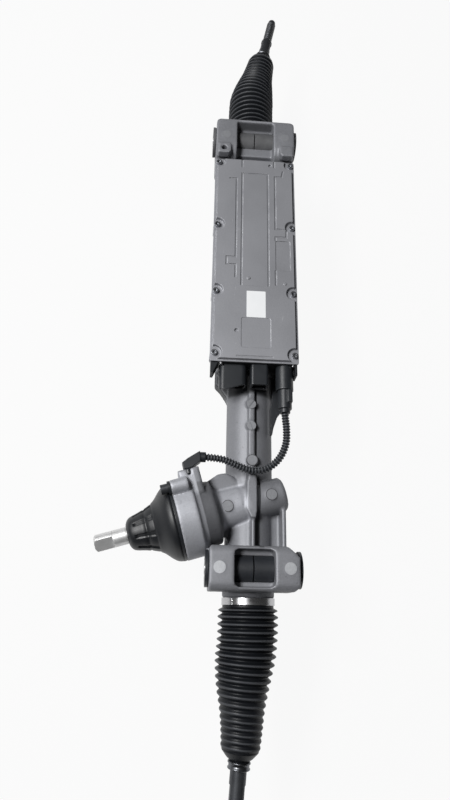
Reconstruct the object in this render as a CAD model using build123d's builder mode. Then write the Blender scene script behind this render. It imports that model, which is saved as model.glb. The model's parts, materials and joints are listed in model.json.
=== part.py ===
from build123d import *
import math
import os

os.makedirs("parts", exist_ok=True)

# Electric power steering rack, in millimetres.
# +X runs along the rack towards the motor end, +Z is the side with the cover and +Y the side of
# the steering column's shaft. The origin is the middle of the lower mounting bore, which runs along Y.

# Whole assembly
rack_axis_z = -45.0
mount_spacing = 577.0
rack_travel = 65.0
lower_end_x = -40.0
upper_end_x = mount_spacing + 75.0
ball_offset = 48.0

# Fits
seat_clearance = 0.03
running_clearance = 0.05
soft_clearance = 0.3

# Rack bar and its teeth
rack_radius = 15.0
tooth_line_height = 10.0
pinion_pitch_radius = 9.0
pinion_teeth = 9
pressure_angle = 20.0
pinion_addendum = 2.0
rack_addendum = 1.0
root_play = 0.3
tooth_play = 0.12
rack_tooth_count = 27
screw_root_radius = 13.2
screw_start_x = mount_spacing - 175.0
screw_end_x = mount_spacing + 49.0

# Pinion and its tilted axis
pinion_x = 76.0
pinion_tilt = 16.5
pinion_half_width = 17.0

# Housing tube, ends and cavities
tube_radius = 28.0
tube_bore = 16.5
collar_radius = 29.5
spigot_radius = 27.0
spigot_length = 12.0
upper_cuff_shift = 11.0
upper_nose_radius = 25.0
collar_length = 10.0
cavity_radius = 22.5
stop_ring_length = 6.0
stop_ring_play = 1.0

# Mounting brackets
bracket_face_z = 25.0
bush_bore = 15.0
bush_flange_radius = 19.5
bush_flange_length = 4.0
sleeve_outer_radius = 8.6
mount_bolt_radius = 6.2
lower_bracket_half_width = 47.5
lower_bracket_half_length = 23.0
upper_bracket_half_width = 53.5
upper_bracket_below = 40.0
upper_bracket_above = 20.0
lower_window_half_width = 21.5
upper_window_half_width = 25.0
window_half_length = 19.0

# Belt drive, ball nut and motor
flange_x = mount_spacing - 99.0
flange_thickness = 8.0
motor_drop = 75.0
motor_radius = 42.0
motor_length = 140.0
motor_wall = 3.0
rotor_radius = 16.4
motor_shaft_radius = 5.0
chamber_radius = 32.0
chamber_wall = 4.0
chamber_length = 38.0
small_chamber_radius = 16.0
belt_width = 22.0
belt_thickness = 1.4
belt_gap = 0.4
belt_pitch = 2.5
large_pulley_teeth = 74
small_pulley_teeth = 30
nut_radius = 22.0
nut_length = 58.0
nut_start_x = flange_x + 12.0
nut_ball_radius = 2.4
nut_lead = 10.0
nut_ball_turns = 2
nut_balls_per_turn = 18
nut_bearing_x = flange_x + 52.0
nut_bearing_length = 16.0

# Control unit on the front
unit_lower_x = 236.0
unit_upper_x = mount_spacing - 40.5
unit_half_width = 53.6
tray_half_width = 52.0
tray_bottom_z = -8.0
tray_top_z = 11.0
tray_wall = 3.0
seal_height = 0.6
cover_flange_height = 2.4
cover_face_z = 18.0
cover_wall = 3.0
cover_screw_y = 48.5
cover_screw_rows = (unit_lower_x + 10, unit_lower_x + 94, unit_upper_x - 108.5, unit_upper_x - 7.5)
cover_screw_radius = 2.0
cover_head_radius = 3.6
cover_head_height = 3.6
board_z = 0.0
board_thickness = 1.6
power_y = 24.8
signal_y = -7.0

# Torque sensor unit, measured along the pinion axis from the rack
bell_start = 44.0
bell_shoulder = 62.0
bell_end = 86.0
bell_radius = 44.5
bell_bore = 40.5
coil_bore = 33.5
hub_bore = 16.0
sensor_cover_thickness = 3.0
sensor_lug_radius = 8.0
sensor_lug_reach = 50.0
sensor_lug_angles = (49.0, 229.0, 319.0)
input_shaft_radius = 9.5
input_shaft_start = 48.0
input_shaft_end = 181.0
input_seat_start = 145.0
input_seat_end = 159.0
input_groove_depth = 0.4
input_flat_depth = 3.0
torsion_bar_radius = 3.0
torsion_end_radius = 4.65
torsion_end_length = 12.0
torsion_start = 10.0
torsion_end = 116.0
pinion_shaft_radius = 7.5
pinion_shaft_end = 47.4
needle_shaft_radius = 6.0

# Yoke
yoke_radius = 15.5
yoke_top_z = -50.0
yoke_bottom_z = -72.0
yoke_housing_bottom_z = -92.0
yoke_housing_radius = 21.5

# Tie rods, ball joints and bellows
ball_radius = 14.0
liner_radius = 16.4
socket_radius = 20.5
socket_mouth = 9.5
socket_back = 28.0
rod_neck_radius = 6.5
rod_radius = 8.7
rod_length = 195.0
rod_seat_start = 98.0
rod_seat_length = 11.0
rod_seat_depth = 0.6
rod_flats_start = 122.0
rod_flats_length = 18.0
rod_flats_width = 15.0
rod_thread_start = 146.0
rod_thread_radius = 7.0
rod_tip_length = 9.0
bellows_wall = 1.8
bellows_end = 93.0
lower_wide_folds = 6
upper_wide_folds = 7
bellows_middle_folds = 8
bellows_narrow_folds = 4
bellows_middle_end = 63.0
bellows_crests = [
    (-60.0, 33.5), (2.0, 33.5), (20.0, 31.0), (36.0, 28.0), (52.0, 24.8), (70.0, 22.6), (100.0, 20.4),
]
bellows_depths = [(-60.0, 4.8), (10.0, 4.6), (45.0, 3.0), (100.0, 2.0)]
lower_rod_swing = 4.5
lower_rod_droop = 2.0
upper_rod_swing = 10.8
upper_rod_droop = 1.5

# Conduit between the control unit and the torque sensor
conduit_radius = 4.5
sensor_socket_y = -38.0
sensor_socket_length = 30.0
sensor_plug_length = 23.0

# Worked out from the sizes above
tilt = math.radians(pinion_tilt)
pinion_axis_z = rack_axis_z + tooth_line_height + pinion_pitch_radius
pinion_direction = Vector(-math.sin(tilt), math.cos(tilt), 0)
pinion_across = Vector(math.cos(tilt), math.sin(tilt), 0)
pinion_centre = Vector(pinion_x, 0, pinion_axis_z)
lower_ball_x = lower_end_x - ball_offset
upper_ball_x = upper_end_x + ball_offset
lower_stop_x = lower_ball_x + socket_back + rack_travel + stop_ring_play
upper_stop_x = upper_ball_x - socket_back - rack_travel - stop_ring_play
motor_axis_z = rack_axis_z - motor_drop
drive_start_x = flange_x + flange_thickness
large_belt_radius = large_pulley_teeth * belt_pitch / (2 * math.pi)
small_belt_radius = small_pulley_teeth * belt_pitch / (2 * math.pi)
seal_top_z = tray_top_z + seal_height
cover_flange_z = seal_top_z + cover_flange_height
sensor_screw_spots = [
    (sensor_lug_reach * math.sin(math.radians(a)), sensor_lug_reach * math.cos(math.radians(a)))
    for a in sensor_lug_angles
]
housing_screw_spots = [(41.0, 7.0), (-41.0, 7.0), (33.0, -47.0), (-33.0, -47.0), (0.0, -101.0)]
motor_screw_spots = [(41.0, -99.0), (-41.0, -99.0), (0.0, -122.5)]
upper_seat_x = flange_x - 22
tray_screw_spots = [(x, y) for x in (unit_lower_x + 26, upper_seat_x) for y in (32.0, -32.0)]
connector_z = 0.0
boot_start = bell_end + sensor_cover_thickness

# Planes and axes
rack_line = Axis((0, 0, rack_axis_z), (1, 0, 0))
rack_profile = Plane(origin=(0, 0, rack_axis_z), x_dir=(1, 0, 0), z_dir=(0, -1, 0))
motor_line = Axis((0, 0, motor_axis_z), (1, 0, 0))
motor_profile = Plane(origin=(0, 0, motor_axis_z), x_dir=(1, 0, 0), z_dir=(0, -1, 0))
pinion_line = Axis(pinion_centre, pinion_direction)
pinion_profile = Plane(origin=pinion_centre, x_dir=pinion_direction, z_dir=(0, 0, -1))


def across_rack(x, y=0.0, z=rack_axis_z):
    """Plane across the rack at x; its own x is +Y and its own y is +Z."""
    return Plane(origin=(x, y, z), x_dir=(0, 1, 0), z_dir=(1, 0, 0))


def across_pinion(distance):
    """Plane across the pinion axis; its own x is +Z and its own y points away from the rack's end."""
    return Plane(origin=pinion_centre + pinion_direction * distance, x_dir=(0, 0, 1), z_dir=pinion_direction)


def along_y(x, y, z=0.0):
    """Plane facing +Y; its own x is +Z and its own y is +X."""
    return Plane(origin=(x, y, z), x_dir=(0, 0, 1), z_dir=(0, 1, 0))


def facing(z):
    """Plane facing +Z at height z."""
    return Plane.XY.offset(z)


def downwards(x, z):
    """Plane facing -Z at x and z."""
    return Plane(origin=(x, 0, z), x_dir=(1, 0, 0), z_dir=(0, 0, -1))


def spot(distance, sideways):
    """Point in the XY plane, given along and across the pinion axis."""
    point = pinion_centre + pinion_direction * distance + pinion_across * sideways
    return (point.X, point.Y)


def round_bar(plane, length, radius, mode=Mode.ADD, spots=((0, 0),)):
    with BuildSketch(plane) as outline:
        with Locations(*spots):
            Circle(radius)
    extrude(outline.sketch, amount=length, mode=mode)


def round_tube(plane, length, outer, inner, spots=((0, 0),)):
    with BuildSketch(plane) as outline:
        with Locations(*spots):
            Circle(outer)
            Circle(inner, mode=Mode.SUBTRACT)
    extrude(outline.sketch, amount=length)


def box_bar(plane, length, width, height, mode=Mode.ADD, spots=((0, 0),), corner=0.0):
    with BuildSketch(plane) as outline:
        with Locations(*spots):
            if corner:
                RectangleRounded(width, height, corner)
            else:
                Rectangle(width, height)
    extrude(outline.sketch, amount=length, mode=mode)


def slab(plane, length, points, mode=Mode.ADD, corner=0.0):
    with BuildSketch(plane) as outline:
        with BuildLine():
            Polyline(*points, close=True)
        make_face()
        if corner:
            fillet(outline.vertices(), corner)
    extrude(outline.sketch, amount=length, mode=mode)


def hull_bar(plane, length, first_radius, second_radius, drop, mode=Mode.ADD):
    """Outline stretched round two circles, the second one lower by drop."""
    with BuildSketch(plane) as outline:
        Circle(first_radius)
        with Locations((0, -drop)):
            Circle(second_radius)
        make_hull()
    extrude(outline.sketch, amount=length, mode=mode)


def turned(plane, axis, points, mode=Mode.ADD):
    with BuildSketch(plane) as outline:
        with BuildLine():
            Polyline(*points, close=True)
        make_face()
    revolve(outline.sketch, axis=axis, mode=mode)


def ball_ring(count, centre_of, radius):
    """One ball at each place that centre_of gives."""
    for number in range(count):
        with Locations(centre_of(number)):
            Sphere(radius)


def finish(builder, name):
    builder.part.label = name
    export_step(builder.part, f"parts/{name}.step")


# Pinion-side housing: tube, lower bracket, pinion barrel with its bell, and the drive's flange
elbow_z = 2.0
pad_top = pinion_centre + pinion_direction * 62 + pinion_across * 50 + Vector(0, 0, elbow_z - pinion_axis_z)
bracket_outline = [
    (-lower_bracket_half_length, lower_bracket_half_width),
    (lower_bracket_half_length - 2, lower_bracket_half_width),
    (lower_bracket_half_length, lower_bracket_half_width - 2),
    (lower_bracket_half_length, 12 - lower_bracket_half_width),
    (lower_bracket_half_length - 12, -lower_bracket_half_width),
    (5 - lower_bracket_half_length, -lower_bracket_half_width),
    (-lower_bracket_half_length, 5 - lower_bracket_half_width),
]
bracket_foot_z = rack_axis_z + 12
flare_outline = [
    (200, 26), (206, 29), (213, 33), (220, 38), (226, 44), (286, 44), (306, 26),
    (306, -26), (286, -44), (226, -44), (220, -38), (213, -33), (206, -29), (200, -26),
]
flare_thickness = 18.0
web_outline = [
    spot(42, 36), spot(28, 41), spot(18, 40), spot(12, 34), spot(6, 20), spot(20, -8), spot(42, -8),
]
rib_outline = [(108, 3.8), (92, 6.2), (66, 6.2), (56, 1.2), (56, -4.4), (66, -6.2), (92, -6.2), (108, -3.8)]
lower_web_outline = [spot(40, -20), spot(36, -38), (24, 36), (24, 20), spot(8, -16)]

with BuildPart() as rack_housing:
    slab(facing(bracket_foot_z), bracket_face_z - bracket_foot_z, bracket_outline)
    with BuildSketch(along_y(0, -lower_bracket_half_width)) as bracket_side:
        with Locations(((bracket_face_z + bracket_foot_z) / 2, 0)):
            Rectangle(bracket_face_z - bracket_foot_z, 2 * lower_bracket_half_length)
        fillet(bracket_side.vertices().group_by(Axis.Z)[-1], 9)
    extrude(bracket_side.sketch, amount=2 * lower_bracket_half_width, mode=Mode.INTERSECT)
    turned(
        rack_profile,
        rack_line,
        [
            (lower_end_x, 0),
            (lower_end_x, spigot_radius - 0.8),
            (lower_end_x + 0.8, spigot_radius),
            (lower_end_x + spigot_length, spigot_radius),
            (lower_end_x + spigot_length, collar_radius),
            (lower_end_x + spigot_length + collar_length, collar_radius),
            (lower_end_x + spigot_length + collar_length, tube_radius),
            (flange_x, tube_radius),
            (flange_x, 0),
        ],
    )
    # Barrel round the pinion, with the flange that carries the sensor unit
    turned(
        pinion_profile,
        pinion_line,
        [(-41, 0), (-41, 17), (-38, 20), (8, 20), (12, 21), (33, 21), (37, 23), (40, 29), (42, 35.4),
         (bell_start, 36.4), (bell_shoulder - 5, 37.4), (bell_shoulder, 40),
         (bell_shoulder + 1.5, bell_radius),
         (bell_end, bell_radius), (bell_end, 0)],
    )
    round_bar(
        across_pinion(bell_shoulder + 4), bell_end - bell_shoulder - 4, sensor_lug_radius,
        spots=sensor_screw_spots,
    )
    box_bar(across_pinion(50), 24, 30, 30, spots=((19, 35),))
    slab(facing(rack_axis_z + 6), 18, web_outline, corner=1.5)
    slab(facing(rack_axis_z), 14, lower_web_outline)
    # Ribs on the front of the neck and the barrel
    box_bar(facing(rack_axis_z), 33, 140, 7.6, spots=((162, 0),))
    slab(facing(rack_axis_z), 41, rib_outline)
    box_bar(facing(rack_axis_z), 38, 40, 4.2, spots=((40, -1.6),))
    round_bar(facing(rack_axis_z), 34.2, 5.8, spots=((193, 0.5), (166, 0.5), (123, -0.5)))
    round_bar(facing(pinion_axis_z), 21.4, 6.4, spots=(spot(28.6, 0),))
    round_bar(facing(pinion_axis_z), 20.4, 6.4, spots=(spot(-23.4, 0),))
    slab(facing(rack_axis_z), 31, [(20, -35), (20, -40), (70, -40), (76, -35)])
    slab(facing(rack_axis_z), 12, [(20, -18), (20, -38), (70, -38), (66, -18)])
    # Seats for the control unit
    slab(facing(rack_axis_z - flare_thickness / 2), flare_thickness, flare_outline)
    box_bar(
        facing(rack_axis_z + 6), tray_bottom_z - rack_axis_z - 6, 66, 84, spots=((unit_lower_x + 36, 0),),
        corner=4,
    )
    box_bar(
        facing(rack_axis_z + 6), tray_bottom_z - rack_axis_z - 6, 26, 80, spots=((upper_seat_x, 0),),
        corner=4,
    )
    # Yoke housing behind the rack
    round_bar(downwards(pinion_x, rack_axis_z), rack_axis_z - yoke_housing_bottom_z, yoke_housing_radius)
    # Flange that carries the motor and closes the belt chamber
    hull_bar(across_rack(flange_x), flange_thickness, 36.5, motor_radius + 2, motor_drop)
    round_bar(across_rack(flange_x), flange_thickness, 7.5, spots=housing_screw_spots)
    round_bar(across_rack(flange_x), flange_thickness, 7.5, spots=motor_screw_spots)
    round_bar(across_rack(flange_x - 11, 0, motor_axis_z), 11, motor_radius - motor_wall - seat_clearance)
    # Ejector marks on the bracket
    round_bar(facing(bracket_face_z - 2), 2.3, 6.3, spots=((0, 37), (0, -37)))
    # Openings
    round_bar(across_rack(lower_end_x), drive_start_x - lower_end_x, tube_bore, Mode.SUBTRACT)
    round_bar(
        across_rack(lower_end_x), lower_stop_x + stop_ring_length - lower_end_x, cavity_radius,
        Mode.SUBTRACT,
    )
    round_bar(across_rack(lower_stop_x), 31, 18.5, Mode.SUBTRACT)
    round_bar(along_y(0, -80), 160, bush_bore, Mode.SUBTRACT)
    box_bar(facing(8), 30, 2 * window_half_length, 2 * lower_window_half_width, Mode.SUBTRACT, corner=5)
    box_bar(along_y(0, -80), 80 - lower_bracket_half_width, 60, 60, Mode.SUBTRACT)
    round_bar(across_pinion(-41), 8, 12.5, Mode.SUBTRACT)
    round_bar(across_pinion(-36), 20, 10.5, Mode.SUBTRACT)
    round_bar(across_pinion(-18), 41, 12.2, Mode.SUBTRACT)
    round_bar(across_pinion(22), 30, 17.5, Mode.SUBTRACT)
    round_bar(across_pinion(44), 30, coil_bore, Mode.SUBTRACT)
    round_bar(across_pinion(64), 30, bell_bore, Mode.SUBTRACT)
    round_bar(across_pinion(bell_end - 18), 30, 2.6, Mode.SUBTRACT, spots=sensor_screw_spots)
    round_bar(
        Plane(origin=pad_top - pinion_across * 8, x_dir=(0, 0, 1), z_dir=pinion_across), 10, 5.1,
        Mode.SUBTRACT,
    )
    round_bar(downwards(pinion_x, rack_axis_z), 60, yoke_radius + running_clearance, Mode.SUBTRACT)
    round_bar(across_rack(flange_x - 2), flange_thickness + 4, 3.1, Mode.SUBTRACT, spots=housing_screw_spots)
    round_bar(across_rack(flange_x - 2), flange_thickness + 4, 2.6, Mode.SUBTRACT, spots=motor_screw_spots)
    round_bar(across_rack(flange_x - 12, 0, motor_axis_z), flange_thickness + 14, 11, Mode.SUBTRACT)
    round_bar(facing(tray_bottom_z - 16), 20, 2.1, Mode.SUBTRACT, spots=tray_screw_spots)
finish(rack_housing, "rack_housing")

# Motor-side housing: belt chamber, nut bearing seat, upper bracket and end tube
upper_low_x = mount_spacing - upper_bracket_below
upper_high_x = mount_spacing + upper_bracket_above
upper_window_end_x = upper_high_x - 4
upper_spigot_x = upper_end_x - upper_cuff_shift - spigot_length
bearing_seat_end_x = nut_bearing_x + nut_bearing_length + 2
upper_bracket_outline = [
    (upper_low_x, upper_bracket_half_width),
    (upper_high_x, upper_bracket_half_width),
    (upper_high_x, -upper_bracket_half_width),
    (upper_low_x, -upper_bracket_half_width),
]
pad_outline = [
    (upper_low_x, 51),
    (upper_low_x, 36),
    (upper_low_x + 4, 33),
    (upper_low_x + 14, 33),
    (upper_low_x + 16, 36),
    (upper_low_x + 16, 51),
]
pad_height = 2.0

with BuildPart() as drive_housing:
    slab(facing(rack_axis_z + 12), bracket_face_z - rack_axis_z - 12, upper_bracket_outline, corner=6)
    with BuildSketch(along_y(mount_spacing, -upper_bracket_half_width)) as bracket_side:
        middle = (upper_bracket_above - upper_bracket_below) / 2
        with Locations(((bracket_face_z + rack_axis_z + 12) / 2, middle)):
            Rectangle(bracket_face_z - rack_axis_z - 12, upper_bracket_above + upper_bracket_below)
        fillet(bracket_side.vertices().group_by(Axis.Z)[-1].sort_by(Axis.X)[-1], upper_bracket_above)
    extrude(bracket_side.sketch, amount=2 * upper_bracket_half_width, mode=Mode.INTERSECT)
    slab(facing(bracket_face_z - 8), 8 + pad_height, pad_outline)
    slab(facing(bracket_face_z - 8), 8 + pad_height, [(x, -y) for x, y in pad_outline])
    round_bar(facing(bracket_face_z - 2), 2.3, 6.5, spots=((mount_spacing - 8, 40), (mount_spacing - 8, -40)))
    hull_bar(across_rack(drive_start_x), chamber_length + chamber_wall, chamber_radius + chamber_wall,
             small_chamber_radius + chamber_wall, motor_drop)
    round_bar(across_rack(drive_start_x), 14, 7.5, spots=housing_screw_spots)
    turned(
        rack_profile,
        rack_line,
        [
            (drive_start_x, 0),
            (drive_start_x, chamber_radius + chamber_wall),
            (bearing_seat_end_x + 6, chamber_radius + chamber_wall),
            (bearing_seat_end_x + 16, tube_radius),
            (upper_spigot_x - collar_length, tube_radius),
            (upper_spigot_x - collar_length, collar_radius),
            (upper_spigot_x, collar_radius),
            (upper_spigot_x, spigot_radius),
            (upper_spigot_x + spigot_length, spigot_radius),
            (upper_spigot_x + spigot_length + 1, upper_nose_radius),
            (upper_end_x, upper_nose_radius),
            (upper_end_x, 0),
        ],
    )
    # Openings
    hull_bar(
        across_rack(drive_start_x), chamber_length, chamber_radius, small_chamber_radius, motor_drop,
        Mode.SUBTRACT,
    )
    round_bar(across_rack(drive_start_x), bearing_seat_end_x - drive_start_x, chamber_radius, Mode.SUBTRACT)
    round_bar(across_rack(bearing_seat_end_x), 4, 25, Mode.SUBTRACT)
    round_bar(across_rack(bearing_seat_end_x), upper_end_x - bearing_seat_end_x, tube_bore, Mode.SUBTRACT)
    round_bar(across_rack(upper_stop_x - stop_ring_length), 160, cavity_radius, Mode.SUBTRACT)
    round_bar(along_y(mount_spacing, -80), 160, bush_bore, Mode.SUBTRACT)
    box_bar(facing(8), 30, upper_window_end_x - upper_low_x + 4, 2 * upper_window_half_width, Mode.SUBTRACT,
            spots=(((upper_low_x - 4 + upper_window_end_x) / 2, 0),), corner=2)
    box_bar(facing(0), 30, 16, 2 * upper_window_half_width, Mode.SUBTRACT, spots=((upper_low_x + 4, 0),))
    round_bar(facing(bracket_face_z - 14), 30, 3.6, Mode.SUBTRACT, spots=((upper_low_x + 8, 42.5),))
    round_bar(across_rack(drive_start_x - 1), 18, 3.1, Mode.SUBTRACT, spots=housing_screw_spots)
finish(drive_housing, "drive_housing")

# Screws that hold the two housings together, and the motor to its flange
with BuildPart() as drive_screws:
    round_bar(across_rack(flange_x + 0.5), 14 + flange_thickness - 0.5, 3.0, spots=housing_screw_spots)
    round_bar(across_rack(drive_start_x + 14), 6, 5.0, spots=housing_screw_spots)
    with BuildSketch(across_rack(drive_start_x + 17)) as sockets:
        with Locations(*housing_screw_spots):
            RegularPolygon(2.5, 6)
    extrude(sockets.sketch, amount=5, mode=Mode.SUBTRACT)
    round_bar(across_rack(flange_x - 8), 8 + flange_thickness - 1, 2.5, spots=motor_screw_spots)
    round_bar(across_rack(flange_x - 13), 5, 4.5, spots=motor_screw_spots)
finish(drive_screws, "drive_screws")

# Mounting bushes, in halves that meet in the bracket's window, and their steel sleeves
bush_split = 0.5


def mount_bush_halves(x, half_width):
    for side in (1, -1):
        turned(
            Plane(origin=(x, 0, 0), x_dir=(0, side, 0), z_dir=(0, 0, side)),
            Axis((x, 0, 0), (0, 1, 0)),
            [
                (bush_split, sleeve_outer_radius + seat_clearance),
                (bush_split, bush_bore - seat_clearance - 0.6),
                (bush_split + 0.6, bush_bore - seat_clearance),
                (half_width, bush_bore - seat_clearance),
                (half_width, bush_flange_radius - 1),
                (half_width + 1, bush_flange_radius),
                (half_width + bush_flange_length, bush_flange_radius),
                (half_width + bush_flange_length, sleeve_outer_radius + seat_clearance),
            ],
        )


mount_places = [(0.0, lower_bracket_half_width), (mount_spacing, upper_bracket_half_width)]

with BuildPart() as mount_bushes:
    for mount_x, half_width in mount_places:
        mount_bush_halves(mount_x, half_width)
finish(mount_bushes, "mount_bushes")

with BuildPart() as mount_sleeves:
    for mount_x, half_width in mount_places:
        sleeve_half = half_width + bush_flange_length + 0.5
        round_tube(along_y(mount_x, -sleeve_half), 2 * sleeve_half, sleeve_outer_radius, mount_bolt_radius)
finish(mount_sleeves, "mount_sleeves")

# Rack guides inside the housings
with BuildPart() as rack_bush:
    round_tube(
        across_rack(lower_stop_x + stop_ring_length + 6), 18, 18.5 - seat_clearance,
        rack_radius + running_clearance,
    )
finish(rack_bush, "rack_bush")

with BuildPart() as rack_stops:
    for stop_x in (lower_stop_x, upper_stop_x - stop_ring_length):
        round_tube(across_rack(stop_x + seat_clearance), stop_ring_length - 2 * seat_clearance,
                   cavity_radius - seat_clearance, rack_radius + soft_clearance)
finish(rack_stops, "rack_stops")

# Rack bar: toothed under the pinion, ball screw through the nut, a stud at each end
tooth_pitch = 2 * math.pi * pinion_pitch_radius / pinion_teeth
rack_bar_start = lower_ball_x + socket_back
rack_bar_end = upper_ball_x - socket_back
stud_radius = 8.0
stud_length = 9.0
tooth_top = tooth_line_height + rack_addendum
tooth_root = tooth_line_height - pinion_addendum - root_play
flank_lean = math.tan(math.radians(pressure_angle))
root_gap_half = tooth_pitch / 4 + tooth_play / 2 - (tooth_line_height - tooth_root) * flank_lean
tooth_reach = 60.0
top_gap_half = tooth_pitch / 4 + tooth_play / 2 + (rack_addendum + 3) * flank_lean

with BuildPart() as rack_bar:
    round_bar(across_rack(rack_bar_start), rack_bar_end - rack_bar_start, rack_radius)
    round_bar(
        across_rack(rack_bar_start - stud_length), rack_bar_end - rack_bar_start + 2 * stud_length,
        stud_radius,
    )
    turned(
        rack_profile,
        rack_line,
        [
            (screw_start_x, rack_radius + 2),
            (screw_start_x, rack_radius),
            (screw_start_x + 2, screw_root_radius),
            (screw_end_x - 2, screw_root_radius),
            (screw_end_x, rack_radius),
            (screw_end_x, rack_radius + 2),
        ],
        Mode.SUBTRACT,
    )
    teeth_half = rack_tooth_count * tooth_pitch / 2 / math.cos(tilt)
    box_bar(facing(rack_axis_z + tooth_top), 12, 2 * teeth_half, 40, Mode.SUBTRACT, spots=((pinion_x, 0),))
    tooth_plane = Plane(
        origin=Vector(pinion_x, 0, rack_axis_z) - pinion_direction * tooth_reach,
        x_dir=(0, 0, 1),
        z_dir=pinion_direction,
    )
    with BuildSketch(tooth_plane) as tooth_gaps:
        half_count = rack_tooth_count // 2
        for number in range(-half_count, half_count + 1):
            with BuildLine():
                middle = number * tooth_pitch
                Polyline(
                    (tooth_root, middle - root_gap_half),
                    (tooth_line_height + rack_addendum + 3, middle - top_gap_half),
                    (tooth_line_height + rack_addendum + 3, middle + top_gap_half),
                    (tooth_root, middle + root_gap_half),
                    close=True,
                )
            make_face()
    extrude(tooth_gaps.sketch, amount=2 * tooth_reach, mode=Mode.SUBTRACT)
finish(rack_bar, "rack_bar")

# Pinion with involute teeth, one tooth pointing into the rack
base_radius = pinion_pitch_radius * math.cos(math.radians(pressure_angle))
pinion_tip_radius = pinion_pitch_radius + pinion_addendum
pinion_root_radius = pinion_pitch_radius - rack_addendum - root_play


def involute(angle):
    return math.tan(angle) - angle


def flank_point(radius):
    """Half the tooth's angle at a radius, as a point beside the tooth's middle line."""
    roll = math.acos(min(1.0, base_radius / radius))
    half_angle = math.pi / (2 * pinion_teeth) - tooth_play / (2 * pinion_pitch_radius)
    half_angle += involute(math.radians(pressure_angle)) - involute(roll)
    return radius, half_angle


flank_radii = [pinion_root_radius - 0.5, base_radius, 9.0, 9.7, 10.4, pinion_tip_radius]
with BuildPart() as pinion:
    round_bar(across_pinion(-pinion_half_width), 2 * pinion_half_width, pinion_root_radius)
    with BuildSketch(across_pinion(-pinion_half_width)) as teeth:
        for number in range(pinion_teeth):
            middle = math.pi + number * 2 * math.pi / pinion_teeth
            flank = [flank_point(radius) for radius in flank_radii]
            one_side = [(r * math.cos(middle + a), r * math.sin(middle + a)) for r, a in flank]
            other_side = [(r * math.cos(middle - a), r * math.sin(middle - a)) for r, a in flank]
            with BuildLine():
                Polyline(*one_side, *reversed(other_side), close=True)
            make_face()
    extrude(teeth.sketch, amount=2 * pinion_half_width)
    round_bar(
        across_pinion(pinion_half_width - 1), pinion_shaft_end - pinion_half_width + 1,
        pinion_shaft_radius,
    )
    round_bar(across_pinion(-33.5), 33.5 - pinion_half_width + 1, needle_shaft_radius)
    round_bar(across_pinion(torsion_start), 60, torsion_end_radius + seat_clearance, Mode.SUBTRACT)
finish(pinion, "pinion")

# Torsion bar: pressed into the pinion, free in the input shaft's bore
with BuildPart() as torsion_bar:
    turned(
        pinion_profile,
        pinion_line,
        [
            (torsion_start + seat_clearance, 0),
            (torsion_start + seat_clearance, torsion_end_radius),
            (torsion_start + torsion_end_length, torsion_end_radius),
            (torsion_start + torsion_end_length + 3, torsion_bar_radius),
            (torsion_end - torsion_end_length - 3, torsion_bar_radius),
            (torsion_end - torsion_end_length, torsion_end_radius),
            (torsion_end, torsion_end_radius),
            (torsion_end, 0),
        ],
    )
finish(torsion_bar, "torsion_bar")

# Input shaft: the column's joint seats between two shallow grooves, and a flat at the tip keys it
groove_radius = input_shaft_radius - input_groove_depth
with BuildPart() as input_shaft:
    turned(
        pinion_profile,
        pinion_line,
        [
            (input_shaft_start, 0),
            (input_shaft_start, 13),
            (input_shaft_start + 5, 13),
            (input_shaft_start + 5, input_shaft_radius),
            (input_seat_start - 1, input_shaft_radius),
            (input_seat_start - 1, groove_radius),
            (input_seat_start, groove_radius),
            (input_seat_start, input_shaft_radius),
            (input_seat_end, input_shaft_radius),
            (input_seat_end, groove_radius),
            (input_seat_end + 1, groove_radius),
            (input_seat_end + 1, input_shaft_radius),
            (input_shaft_end - 2, input_shaft_radius),
            (input_shaft_end, input_shaft_radius - 2.5),
            (input_shaft_end, 0),
        ],
    )
    round_bar(across_pinion(input_shaft_start), torsion_end + 1 - input_shaft_start,
              torsion_end_radius + running_clearance, Mode.SUBTRACT)
    with BuildSketch(across_pinion(input_seat_end + 1)) as flat:
        with Locations(Location((0, 0, 0), -35)):
            with Locations((input_shaft_radius - input_flat_depth + 5, 0)):
                Rectangle(10, 40)
    extrude(flat.sketch, amount=40, mode=Mode.SUBTRACT)
finish(input_shaft, "input_shaft")

# Torque sensor: magnet ring on the input shaft, coil block round it
with BuildPart() as sensor_magnet:
    round_tube(across_pinion(input_shaft_start + 5.2), 10, 18, input_shaft_radius + seat_clearance)
finish(sensor_magnet, "sensor_magnet")

with BuildPart() as sensor_coil:
    round_tube(across_pinion(44 + seat_clearance), 20, coil_bore - seat_clearance, 19.5)
    box_bar(across_pinion(64 + seat_clearance), 8, 16, 10, spots=((20, 22),))
finish(sensor_coil, "sensor_coil")

# Cover of the torque sensor, with the input shaft's bearing hub and an ear at each screw
with BuildPart() as sensor_cover:
    round_bar(across_pinion(bell_end), sensor_cover_thickness, bell_radius - 0.5)
    round_bar(
        across_pinion(bell_end), sensor_cover_thickness, sensor_lug_radius - 0.5,
        spots=sensor_screw_spots,
    )
    round_tube(across_pinion(bell_end - 7), 7, bell_bore - seat_clearance, bell_bore - 4)
    round_bar(across_pinion(bell_end - 13), 13, hub_bore + 4)
    round_bar(across_pinion(bell_end - 14), 30, hub_bore, Mode.SUBTRACT)
    round_bar(across_pinion(bell_end - 1), 10, 2.8, Mode.SUBTRACT, spots=sensor_screw_spots)
finish(sensor_cover, "sensor_cover")

with BuildPart() as sensor_cover_screws:
    round_bar(across_pinion(bell_end - 16), 16 + sensor_cover_thickness, 2.5, spots=sensor_screw_spots)
    round_bar(across_pinion(boot_start), 8, 5.5, spots=sensor_screw_spots)
    with BuildSketch(across_pinion(boot_start + 4)) as sockets:
        with Locations(*sensor_screw_spots):
            RegularPolygon(2.8, 6)
    extrude(sockets.sketch, amount=6, mode=Mode.SUBTRACT)
finish(sensor_cover_screws, "sensor_cover_screws")

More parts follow.
